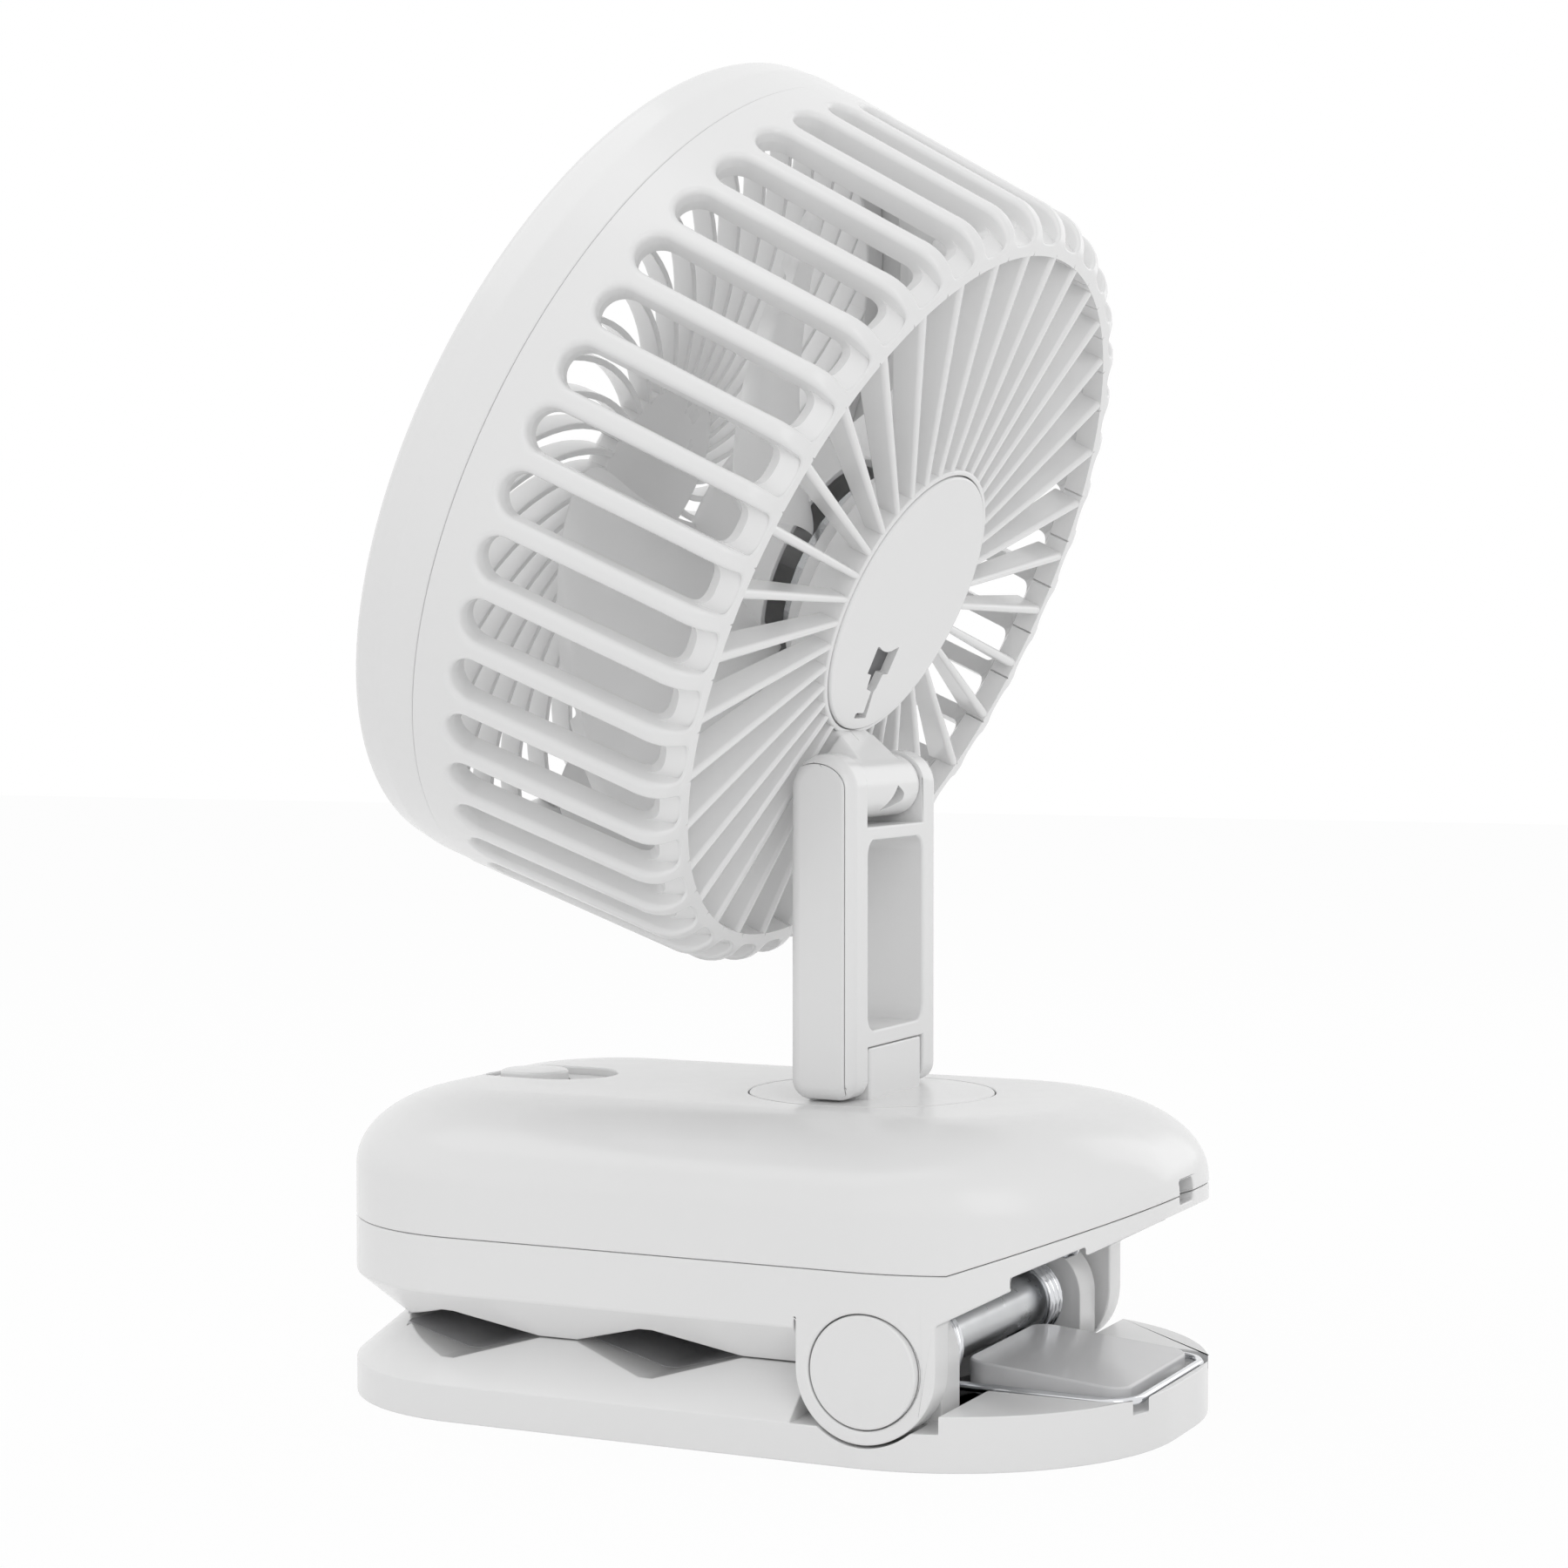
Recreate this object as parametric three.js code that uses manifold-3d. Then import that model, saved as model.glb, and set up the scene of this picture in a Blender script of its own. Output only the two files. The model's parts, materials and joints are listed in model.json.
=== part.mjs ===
// Clip fan: a caged fan head on a folding arm, over a battery base whose underside is a spring clamp.
// Millimetres. +Z up, the fan faces -Y, X = 0 is the plane of symmetry.
// The origin is where the swivel axis meets the surface that the lower jaw stands on.
import * as THREE from 'three';
import { mergeVertices } from 'three/addons/utils/BufferGeometryUtils.js';
import Module from 'manifold-3d';

const wasm = await Module();
wasm.setup();
const toRadians = THREE.MathUtils.degToRad;

// ---------------------------------------------------------------- driving dimensions
// clearances
const gap = 0.3;              // between pieces that touch or slide
const boreGap = 0.3;          // radial, pins and shafts in plastic bores
const over = 1;               // how far a cutter runs past the face it cuts

// base outline, seen from above
const baseHalfWidth = 59.8;
const baseFront = 117.5;      // from the swivel axis to the front end
const baseRear = 73.9;        // from the swivel axis to the rear end
const frontCorner = 43;
const rearCorner = 53;

// base heights
const baseTop = 69.7;
const wallTop = 52;           // where the side wall starts to curve over
const crownInset = 28;
const seamHeight = 40.4;
const seamKinkY = 41;         // behind this the seam climbs to the rear end
const seamRise = 11.4;        // climb of the seam from the kink to the rear end
const shellWall = 2.4;

// the two jaws meet on level lands between two diamond gaps
const jawMeet = 18;
const toothDepth = 5;
const toothHalf = 20;
const toothFlat = 1.6;
const toothPitch = 49.4;
const frontToothY = -78.4;
const chamferInset = 11.8;
const chamferRise = 10;
const gripThickness = 1.4;
const gripHalfWidth = baseHalfWidth - 18.3;
const gripEndMargin = 2.4;

// lower jaw
const plateHeight = 8;
const tailHeight = 11.7;
const pocketFloor = 8.6;
const pocketRim = 1.7;
const pocketCorner = 9;
const padTop = 13.1;
const padCorner = 5;
const footLength = 120;
const footMargin = 24.8;      // from the plate's side to the foot pad
const footSink = 0.9;
const footCorner = 16;

// clamp hinge
const hingeY = 24;
const hingeZ = 19.9;
const earRadius = 15;
const earThickness = 10.8;
const capRadius = 11.8;
const capThickness = 2.2;
const axleRadius = 3;
const lugRadius = 12.3;
const lugWidth = 10;
const lugClearance = 2.6;     // between a lug and the ear beside it
const barrelRadius = 6.4;
const skirtBand = 10.6;       // height of the lower shell's side wall behind the ears
const skirtTaper = 7.2;       // what that height loses from the kink to the rear end
const skirtKinkY = 38.5;
const roofLift = 3.8;         // from that wall's lower edge to the roof between the ears
const bulkheadY = 8.6;

// clamp spring, one wire: leg, coil, bail round the tail pad, coil, leg
const wireRadius = 1;
const coilRadius = 8.5;       // to the wire's centre
const coilTurns = 3;          // whole turns, before the half turn from the upper to the lower leg
const coilSteps = 8;
const coilPitch = 2.55;
const coilClearance = 2;      // from the outer turn's centre to the lug beside it
const bailSetBack = 3.5;      // from the rear end to the bail's wire
const bailLift = 1.3;         // clear height under the bail
const bailCorner = 7;
const bailRoom = 2.5;         // round the bail's wire, to the pocket's side
const padRoom = 2.1;          // between the bail's sides and the tail pad
const springLegReach = 12;    // from the hinge to the end of the upper leg

// turntable and its bracket
const tableRadius = 27.5;
const tableNeckRadius = 23.6;
const tableFlange = 2.4;
const shellBossDepth = 5.2;
const shellBossMargin = 3.4;
const retainerThickness = 3;
const wireHoleRadius = 7;
const bracketHalfWidth = 14.3;
const bracketHeight = 11.3;
const bracketBack = 5.8;

// arm
const armY = -1.8;
const armHalfDepth = 7.7;
const armHalfWidth = 23.9;
const armLift = 0.4;          // underside of the legs above the turntable
const forkHalfWidth = 15.6;
const tiltZ = 138;
const armEdge = 3;
const legCorner = 4.3;        // also the fold pin's distance from the front and the foot of the legs
const crossbar = 3.6;         // below the window
const yokeBar = 3;            // above the window, under the knuckle
const windowFoot = 84.8;
const windowHead = 126.6;
const windowCorner = 3.6;
const coverInset = 2;
const coverThickness = 1.3;
const coverProud = 0.2;
const tiltPinRadius = 2.2;
const foldPinRadius = 1.6;
const pinReach = 19.5;
const washerThickness = 0.6;

// head, measured from the tilt axis; "depth" runs forward from the flat back of the cage
const headTilt = 25.2;        // degrees above level
const neckRise = 10.4;        // from the tilt axis to the lower edge of the cap disc
const backSet = 8;
const knuckleRadius = 7;
const neckHalfWidth = 8.5;
const cageRadius = 97;        // at the seam
const cageTaper = 4.8;        // the drum narrows by this much from the seam to the shoulder
const shoulderWidth = 7.4;
const shoulderDepth = 8.6;
const cageWall = 4;
const seamDepth = 61.5;
const rimWidth = 2.6;
const rimDepth = 5;
const slotCount = 40;
const slotWidth = 10.3;
const slotMargin = 8.1;       // from a slot's front end to the seam
const slotBack = 10.4;
const recessWidth = 9.4;
const recessSlope = 0.5;      // climb of a recess's floor for each millimetre of depth
const spokeWidth = 1.7;
const spokeDepth = 8.5;
const spokeTop = 0.3;
const hubWall = 1.2;
const hubDepth = 10;
const capDiscRadius = 30.7;
const capDiscThickness = 1.8;
const notchMargin = 2.8;      // cable cut-out in the cap disc, from the disc's lower edge up
const notchHeight = 1.3;
const notchHalfWidth = 3;
const slitHeight = 6;
const slitWidth = 1.2;
const stepHeight = 3.7;
const paneHeight = 6.6;
const cutLeft = 4.5;
const cutRight = 6.4;
const cutStep = 2.7;          // the cut-out steps in by this much on both sides
const motorCupRadius = 24.5;
const motorCupDepth = 16;
const motorWall = 2;
const cageLip = 3.2;
const cageLipWall = 1.8;

// motor
const statorRadius = 17;
const statorDepth = 9;
const postRadius = 5.6;
const bearingRadius = 4.2;
const bearingLength = 3;
const shaftRadius = 1.6;
const canRadius = 21;
const canWall = 1.4;
const canDepth = 19;          // depth of the can's closed end
const canStart = 5.2;

// impeller
const bladeCount = 5;
const tipClearance = 4.2;     // between the blades and the cage's narrowest wall
const bladeThickness = 1.6;
const bladeSweep = 62;        // degrees of arc that one blade covers
const bladePitchDepth = 21;
const bladeMid = 38;          // depth of the blades' middle
const bladeRootShare = 0.62;  // a blade's arc at its root, of the arc it covers further out
const bladeRoundFrom = 0.6;   // share of the tip radius where the round end starts
const bladeEndShare = 0.08;   // what is left of the arc at the very tip
const bladeLag = 7.4;         // degrees that the tip trails the root
const bladeUntwist = 0.35;    // share of the pitch lost at the tip
const bladeCamber = 4;
const impellerHub = 25.5;
const impellerBack = 22;
const impellerFront = 48;
const impellerWall = 2;
const spinnerRadius = 9;
const spinnerHeight = 3.4;

// front ring and grille
const ringProud = 1;          // beyond the cage's skin
const ringDepth = 16.9;
const ringWall = 2.6;
const ringEdge = 4.4;
const ringLipWidth = 7.4;
const grilleSetBack = 2;      // behind the ring's front
const grilleDepth = 6;
const grilleRimWidth = 2.6;
const grilleHub = 23;
const grilleRibs = 36;
const grilleRibWidth = 1.5;
const grilleRibSink = 0.4;    // below the grille's front
const grilleTwist = 34;       // degrees between a rib's root and its end

// power button in its tray
const buttonY = -86.9;
const buttonRadius = 8;
const buttonTop = 70.4;
const buttonTravel = 1;
const trayRadius = 12;
const trayLength = 8.6;
const trayTop = 67.9;
const trayThickness = 1.8;

// charging port
const portHalfWidth = 4.6;
const portHalfHeight = 2.5;
const portLift = 0.5;         // the port's middle above the rear end of the seam
const portSetBack = 4.1;
const portLength = 7.4;
const portShellWall = 0.5;

// electronics
const cellRadius = 9.1;
const cellLength = 65;
const cellSpacing = 19.4;
const cellFront = -96;
const cellFloor = 26.2;
const boardThickness = 1.6;
const boardHalfWidth = 21;
const boardLength = 46;
const boardFront = -101;
const boardPostRadius = 2.6;
const boardDrop = 7.4;        // board's upper face below the shell's inner face

// sizes that follow from the ones above
const skirtHeight = seamHeight - skirtBand;
const skirtRise = seamRise + skirtTaper;
const pocketRoof = skirtHeight + roofLift;
const portZ = seamHeight + seamRise + portLift;
const hubRadius = capDiscRadius + gap + hubWall;
const lugOuter = baseHalfWidth - earThickness - lugClearance;
const lugInner = lugOuter - lugWidth;
const coilInner = lugInner - coilClearance - coilPitch * (coilTurns + 0.5);
const bailY = baseRear - bailSetBack;
const bailHeight = pocketFloor + wireRadius + bailLift;
const pocketHalfWidth = coilInner + wireRadius + bailRoom;
const padHalfWidth = coilInner - wireRadius - padRoom;
const padRear = bailY - wireRadius - padRoom + gap;
const footHalfWidth = baseHalfWidth - footMargin;
const cageShoulder = cageRadius - cageTaper;
const cageBackRadius = cageShoulder - shoulderWidth;
const rimInner = cageBackRadius - rimWidth;
const bladeTip = cageShoulder - cageWall - tipClearance;
const ringRadius = cageRadius + ringProud;
const ringLip = ringRadius - ringLipWidth;
const headRise = capDiscRadius + neckRise;
const slotFront = seamDepth - slotMargin;
const ringFront = seamDepth + ringDepth;
const grilleFront = ringFront - grilleSetBack;
const grilleBack = grilleFront - grilleDepth;

// mesh finenesses
const cornerSteps = 6;
const drumSteps = slotCount;
const ringSteps = 52;
const pinSteps = 14;
const discSteps = 32;

// ---------------------------------------------------------------- materials
function plastic(color, roughness = 0.28) {
  return new THREE.MeshStandardMaterial({ color, roughness, metalness: 0 });
}
function metal(color, roughness = 0.25) {
  return new THREE.MeshStandardMaterial({ color, roughness, metalness: 1 });
}
const white = plastic(0xf2f2f2);
const milk = plastic(0xe6e7e8, 0.35);
const grey = plastic(0xb9babb, 0.5);
const dark = plastic(0x3b3c3e, 0.6);
const rubber = plastic(0x8d8e90, 0.8);
const steel = metal(0xd8dadc, 0.15);
const copper = metal(0xb87344, 0.4);
const green = plastic(0x1f5a3a, 0.5);
const blue = plastic(0x3f6ea8, 0.45);

// ---------------------------------------------------------------- solids
// Turns any closed geometry into a solid whose faces point out.
function solid(geometry) {
  for (const name of Object.keys(geometry.attributes)) {
    if (name !== 'position') geometry.deleteAttribute(name);
  }
  const merged = mergeVertices(geometry, 1e-4);
  const position = merged.attributes.position;
  const source = merged.index.array;
  const a = new THREE.Vector3();
  const b = new THREE.Vector3();
  const c = new THREE.Vector3();
  const triangles = [];
  let volume = 0;
  for (let i = 0; i < source.length; i += 3) {
    const [p, q, r] = [source[i], source[i + 1], source[i + 2]];
    if (p === q || q === r || r === p) continue;
    triangles.push([p, q, r]);
    a.fromBufferAttribute(position, p);
    b.fromBufferAttribute(position, q);
    c.fromBufferAttribute(position, r);
    volume += a.dot(b.cross(c));
  }
  const ordered = volume < 0 ? triangles.map(([p, q, r]) => [p, r, q]) : triangles;
  return new wasm.Manifold(new wasm.Mesh({
    numProp: 3,
    vertProperties: new Float32Array(position.array),
    triVerts: new Uint32Array(ordered.flat()),
  }));
}

function union(...bodies) {
  return bodies.reduce((sum, body) => sum.add(body));
}

function toGeometry(body) {
  const mesh = body.getMesh();
  const geometry = new THREE.BufferGeometry();
  geometry.setAttribute('position', new THREE.BufferAttribute(new Float32Array(mesh.vertProperties), 3));
  geometry.setIndex(new THREE.BufferAttribute(new Uint32Array(mesh.triVerts), 1));
  geometry.computeVertexNormals();
  return geometry;
}

// extrusion along X of a shape drawn in (Y, Z)
const alongX = new THREE.Matrix4().set(0, 0, 1, 0, 1, 0, 0, 0, 0, 1, 0, 0, 0, 0, 0, 1);
// extrusion along Y of a shape drawn in (X, Z)
const alongY = new THREE.Matrix4().set(1, 0, 0, 0, 0, 0, 1, 0, 0, 1, 0, 0, 0, 0, 0, 1);

// prisms over an outline of [u, v] points, with a rolled edge of the bevel's radius if one is given
function extrude(points, from, to, bevel = 0, bevelSteps = 3) {
  const geometry = new THREE.ExtrudeGeometry(polygon(points), {
    depth: to - from - 2 * bevel, bevelEnabled: bevel > 0, bevelThickness: bevel, bevelSize: bevel,
    bevelSegments: bevelSteps,
  });
  return geometry.translate(0, 0, from + bevel);
}
function prismX(...prism) {
  return solid(extrude(...prism).applyMatrix4(alongX));
}
function prismY(...prism) {
  return solid(extrude(...prism).applyMatrix4(alongY));
}
function prismZ(...prism) {
  return solid(extrude(...prism));
}
function polygon(points) {
  return new THREE.Shape(points.map(([u, v]) => new THREE.Vector2(u, v)));
}

// points along an arc, its angles in degrees
function arc(u, v, radius, start, end, steps) {
  const points = [];
  for (let i = 0; i <= steps; i++) {
    const angle = toRadians(start + (end - start) * (i / steps));
    points.push([u + radius * Math.cos(angle), v + radius * Math.sin(angle)]);
  }
  return points;
}

// rectangle between two corners, its own corners rounded
function roundedRect(u0, v0, u1, v1, radius, steps = 3) {
  return [
    ...arc(u1 - radius, v1 - radius, radius, 0, 90, steps),
    ...arc(u0 + radius, v1 - radius, radius, 90, 180, steps),
    ...arc(u0 + radius, v0 + radius, radius, 180, 270, steps),
    ...arc(u1 - radius, v0 + radius, radius, 270, 360, steps),
  ];
}
// two half rounds of the same radius joined by straights along v
function stadium(v0, v1, radius, steps) {
  return [...arc(0, v1 - radius, radius, 0, 180, steps), ...arc(0, v0 + radius, radius, 180, 360, steps)];
}

function box(x0, x1, y0, y1, z0, z1) {
  const geometry = new THREE.BoxGeometry(x1 - x0, y1 - y0, z1 - z0);
  return solid(geometry.translate((x0 + x1) / 2, (y0 + y1) / 2, (z0 + z1) / 2));
}
function cylinderX(radius, x0, x1, y, z, steps = pinSteps) {
  const geometry = new THREE.CylinderGeometry(radius, radius, x1 - x0, steps);
  return solid(geometry.rotateZ(Math.PI / 2).translate((x0 + x1) / 2, y, z));
}
function cylinderZ(radius, z0, z1, x = 0, y = 0, steps = pinSteps) {
  const geometry = new THREE.CylinderGeometry(radius, radius, z1 - z0, steps);
  return solid(geometry.rotateX(Math.PI / 2).translate(x, y, (z0 + z1) / 2));
}

// revolved profile of [radius, height] pairs about the Z axis, closed back to its first point
function turnedZ(profile, steps) {
  const points = [...profile, profile[0]].map(([r, z]) => new THREE.Vector2(r, z));
  return solid(new THREE.LatheGeometry(points, steps).rotateX(Math.PI / 2));
}

// the same about the fan's axis, from [radius, depth] pairs
function turnedFan(profile, steps, start = 0) {
  const points = [...profile, profile[0]].map(([r, depth]) => new THREE.Vector2(r, fanY(depth)));
  return solid(new THREE.LatheGeometry(points, steps, start).translate(0, 0, headRise));
}
function fanY(depth) {
  return -backSet - depth;
}

// closed skin through rings of equally many points, capped flat at both ends
function loft(rings) {
  const count = rings[0].length;
  const vertices = rings.flat();
  const index = [];
  for (let level = 0; level + 1 < rings.length; level++) {
    for (let i = 0; i < count; i++) {
      const j = (i + 1) % count;
      const low = level * count;
      const high = low + count;
      index.push(low + i, low + j, high + j, low + i, high + j, high + i);
    }
  }
  for (const [ring, flip] of [[0, true], [rings.length - 1, false]]) {
    const centre = new THREE.Vector3();
    for (const point of rings[ring]) centre.add(point);
    vertices.push(centre.divideScalar(count));
    const hub = vertices.length - 1;
    for (let i = 0; i < count; i++) {
      const here = ring * count + i;
      const next = ring * count + (i + 1) % count;
      index.push(...(flip ? [hub, next, here] : [hub, here, next]));
    }
  }
  const geometry = new THREE.BufferGeometry().setFromPoints(vertices);
  geometry.setIndex(index);
  return solid(geometry);
}

// ---------------------------------------------------------------- base outline
// the outline seen from above, drawn in by "inset", at height z
function outlineRing(inset, z) {
  const points = [];
  const corner = (x, y, radius, start) => {
    for (let i = 0; i <= cornerSteps; i++) {
      const angle = start + (i / cornerSteps) * (Math.PI / 2);
      points.push(new THREE.Vector3(x + radius * Math.cos(angle), y + radius * Math.sin(angle), z));
    }
  };
  const rear = rearCorner - inset;
  const front = frontCorner - inset;
  const rearX = baseHalfWidth - rearCorner;
  const frontX = baseHalfWidth - frontCorner;
  corner(rearX, baseRear - rearCorner, rear, 0);
  corner(-rearX, baseRear - rearCorner, rear, Math.PI / 2);
  corner(-frontX, frontCorner - baseFront, front, Math.PI);
  corner(frontX, frontCorner - baseFront, front, 1.5 * Math.PI);
  return points;
}
// levels are [height, inset] pairs
function outlineBody(levels) {
  return loft(levels.map(([z, inset]) => outlineRing(inset, z)));
}
// the domed body, its skin drawn in by "wall", from height z0 up
function domedBody(z0, wall) {
  const levels = [[z0, wall]];
  const steps = 4;
  for (let i = 0; i <= steps; i++) {
    const angle = (i / steps) * (Math.PI / 2);
    const rise = (baseTop - wallTop - wall) * Math.sin(angle);
    levels.push([wallTop + rise, wall + (crownInset - wall) * (1 - Math.cos(angle))]);
  }
  return outlineBody(levels);
}

const wide = baseHalfWidth + over;
const farFront = -baseFront - over;
const farRear = baseRear + over;
const high = baseTop + over;

// height of the shells' seam at a place along Y
function seamAt(y) {
  const slope = seamRise / (baseRear - seamKinkY);
  return seamHeight + Math.max(0, y - seamKinkY) * slope;
}
// height of the lower shell's underside behind the ears
function skirtAt(y) {
  const slope = skirtRise / (baseRear - skirtKinkY);
  return skirtHeight + Math.max(0, y - skirtKinkY) * slope;
}

// [y, z] points of the wavy mating line, bitten by the teeth away from the other jaw
function waveLine(z, direction, from, to) {
  const points = [[from, z]];
  for (const centre of [frontToothY, frontToothY + toothPitch]) {
    const bite = z + direction * toothDepth;
    points.push([centre - toothHalf, z], [centre - toothFlat, bite]);
    points.push([centre + toothFlat, bite], [centre + toothHalf, z]);
  }
  points.push([to, z]);
  return points;
}

// the room inside the two shells
function shellRoom() {
  const slope = shellWall + 0.6;
  const floor = cellFloor - gap;
  const side = [
    [-baseFront + shellWall, floor], [bulkheadY - shellWall, floor],
    [bulkheadY - shellWall, pocketRoof + shellWall],
    [skirtKinkY, pocketRoof + shellWall],
    [farRear, skirtAt(farRear) + pocketRoof - skirtHeight + shellWall],
    [farRear, high], [-baseFront + shellWall, high],
  ];
  const chamferTop = jawMeet + chamferRise;
  const lower = outlineBody([[floor, chamferInset * (chamferTop - floor) / chamferRise + slope],
    [chamferTop + slope, shellWall], [wallTop, shellWall]]);
  const upper = domedBody(wallTop, shellWall);
  return union(lower, upper).intersect(prismX(side, -wide, wide));
}

function turntableBoss() {
  const radius = tableRadius + shellBossMargin;
  return cylinderZ(radius, baseTop - shellBossDepth, baseTop - shellWall / 2, 0, 0, discSteps);
}

function portOpening() {
  const outline = roundedRect(-portHalfWidth, portZ - portHalfHeight, portHalfWidth,
    portZ + portHalfHeight, portHalfHeight - gap);
  return prismY(outline, baseRear - portSetBack - portLength - gap, farRear);
}
// the block of each shell that carries the port
function portBlock() {
  const half = portHalfWidth + shellWall;
  const tall = portHalfHeight + shellWall;
  const front = baseRear - portSetBack - portLength + gap;
  return box(-half, half, front, baseRear - shellWall / 2, portZ - tall, portZ + tall);
}

function aboveSeam(lift) {
  const line = [[farFront, seamAt(farFront) + lift], [seamKinkY, seamHeight + lift],
    [farRear, seamAt(farRear) + lift]];
  return prismX([...line, [farRear, high], [farFront, high]], -wide, wide);
}

function boardPosts() {
  const places = [];
  const x = boardHalfWidth - 2 * boardPostRadius;
  for (const y of [boardFront + 2 * boardPostRadius, boardFront + boardLength - 2 * boardPostRadius]) {
    places.push([x, y], [-x, y]);
  }
  return places;
}

// the button tray's long round outline, raised between two heights
function traySlot(radius, from, to) {
  const margin = trayRadius - radius;
  const front = buttonY - trayRadius + margin;
  const outline = stadium(front, front + trayLength + 2 * radius, radius, 9);
  return prismZ(outline, from, to);
}

function baseTopShell() {
  const boardFace = baseTop - shellWall - boardDrop;
  let body = domedBody(seamHeight - over, 0).subtract(shellRoom());
  body = union(body, turntableBoss(), portBlock());
  for (const [x, y] of boardPosts()) {
    body = body.add(cylinderZ(boardPostRadius, boardFace + gap, baseTop - shellWall / 2, x, y, 10));
  }
  const tray = traySlot(trayRadius + shellWall, trayTop - trayThickness - gap, baseTop - shellWall);
  body = body.add(tray.intersect(domedBody(wallTop, shellWall / 2)));
  const seat = cylinderZ(tableRadius + gap, baseTop - tableFlange - gap, high, 0, 0, discSteps);
  const bore = cylinderZ(tableNeckRadius + gap, wallTop, high, 0, 0, discSteps);
  const hole = traySlot(trayRadius, trayTop - trayThickness - gap, high);
  const under = traySlot(trayRadius - gap * 4, wallTop, high);
  body = body.subtract(union(seat, bore)).subtract(union(hole, under)).subtract(portOpening());
  return body.intersect(aboveSeam(gap / 2)).intersect(domedBody(seamHeight - over, 0));
}

function ear() {
  const top = pocketRoof + shellWall;
  const column = [[hingeY + earRadius, top], [hingeY - earRadius, top],
    ...arc(hingeY, hingeZ, earRadius, 180, 360, 20)];
  return prismX(column, baseHalfWidth - earThickness, wide);
}

function mirrored(body) {
  return body.mirror([1, 0, 0]);
}

function lowerShell() {
  const meet = jawMeet + gap / 2;
  const chamferTop = jawMeet + chamferRise;
  const wave = waveLine(meet, 1, farFront, bulkheadY).reverse();
  const side = [
    [farFront, seamHeight - gap / 2], [seamKinkY, seamHeight - gap / 2],
    [farRear, seamAt(farRear) - gap / 2], [farRear, skirtAt(farRear)],
    [skirtKinkY, skirtHeight], [bulkheadY, skirtHeight], ...wave,
  ];
  const outline = outlineBody([[0, 0], [high, 0]]);
  const bite = outlineBody([[meet, chamferInset], [chamferTop, 0], [high, 0]]);
  const behind = box(-wide, wide, bulkheadY, farRear, 0, high);
  let body = prismX(side, -wide, wide).intersect(outline).intersect(union(bite, behind));
  const ears = union(ear(), mirrored(ear())).intersect(outline);
  body = union(body.subtract(shellRoom()), ears.subtract(aboveSeam(-gap / 2)));
  body = union(body, portBlock().subtract(aboveSeam(-gap / 2)).intersect(prismX(side, -wide, wide)));

  const lift = pocketRoof - skirtHeight;
  const recessRear = baseRear - 4 * shellWall;
  const recess = [
    [bulkheadY, skirtHeight - over], [skirtKinkY, skirtHeight - over],
    [recessRear, skirtAt(recessRear) - over],
    [recessRear, skirtAt(recessRear) + lift / 2], [skirtKinkY, pocketRoof], [bulkheadY, pocketRoof],
  ];
  const inner = baseHalfWidth - earThickness;
  body = body.subtract(prismX(recess, -inner, inner));
  body = body.subtract(gripBand(1, gripThickness + gap, gap));
  body = body.subtract(cylinderX(axleRadius + boreGap, -wide, wide, hingeY, hingeZ));
  for (const from of [baseHalfWidth - capThickness - gap, -wide]) {
    const to = from < 0 ? gap + capThickness - baseHalfWidth : wide;
    body = body.subtract(cylinderX(capRadius + gap, from, to, hingeY, hingeZ, discSteps));
  }
  return body.subtract(portOpening());
}

// the wavy slab of a jaw's soft pad, lying in the jaw's face, or the cutter of its recess
function gripBand(direction, thickness = gripThickness, margin = 0) {
  const face = jawMeet + direction * (gap / 2 - margin * over / gap);
  const back = jawMeet + direction * (gap / 2 + thickness);
  const halfWidth = gripHalfWidth + margin;
  const from = frontToothY - toothHalf + gripEndMargin - margin;
  const to = frontToothY + toothPitch + toothHalf - gripEndMargin + margin;
  const clip = prismX([[from, 0], [to, 0], [to, high], [from, high]], -halfWidth, halfWidth);
  const near = waveLine(face, direction, farFront, bulkheadY);
  const far = waveLine(back, direction, farFront, bulkheadY).reverse();
  return prismX([...near, ...far], -halfWidth, halfWidth).intersect(clip);
}

// ---------------------------------------------------------------- lower jaw
function lowerJaw() {
  const meet = jawMeet - gap / 2;
  const outline = outlineBody([[0, 0], [high, 0]]);
  const plate = outlineBody([[0, 0], [plateHeight, 0]]);
  const hill = outlineBody([[plateHeight - over, 0], [plateHeight, 0], [meet, chamferInset]]);
  const wave = waveLine(meet, -1, farFront, bulkheadY - over);
  const under = prismX([...wave, [bulkheadY - over, 0], [farFront, 0]], -wide, wide);
  const tailFront = hingeY + earRadius + 2 * gap;
  const tail = box(-wide, wide, tailFront, farRear, 0, tailHeight).intersect(outline);
  let body = union(plate, hill.intersect(under), tail);

  const notch = cylinderX(earRadius + 2 * gap, 0, wide, hingeY, hingeZ, discSteps);
  const side = box(baseHalfWidth - earThickness - 2 * gap, wide, farFront, farRear, 0, high);
  const room = notch.intersect(side);
  body = body.subtract(union(room, mirrored(room)));
  const pocket = roundedRect(-pocketHalfWidth, hingeY, pocketHalfWidth, baseRear - pocketRim, pocketCorner);
  body = body.subtract(prismZ(pocket, pocketFloor, high));
  const foot = plateHeight - over;
  const web = [[hingeY - lugRadius, foot], [hingeY + lugRadius, foot],
    ...arc(hingeY, hingeZ, lugRadius, 0, 180, 14)];
  const lug = prismX(web, lugInner, lugOuter);
  body = union(body, lug, mirrored(lug));
  body = body.subtract(cylinderX(axleRadius + boreGap, -wide, wide, hingeY, hingeZ));
  body = body.subtract(gripBand(-1, gripThickness + gap, gap));
  return body.subtract(prismZ(footOutline(0), -over, footSink));
}

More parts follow.
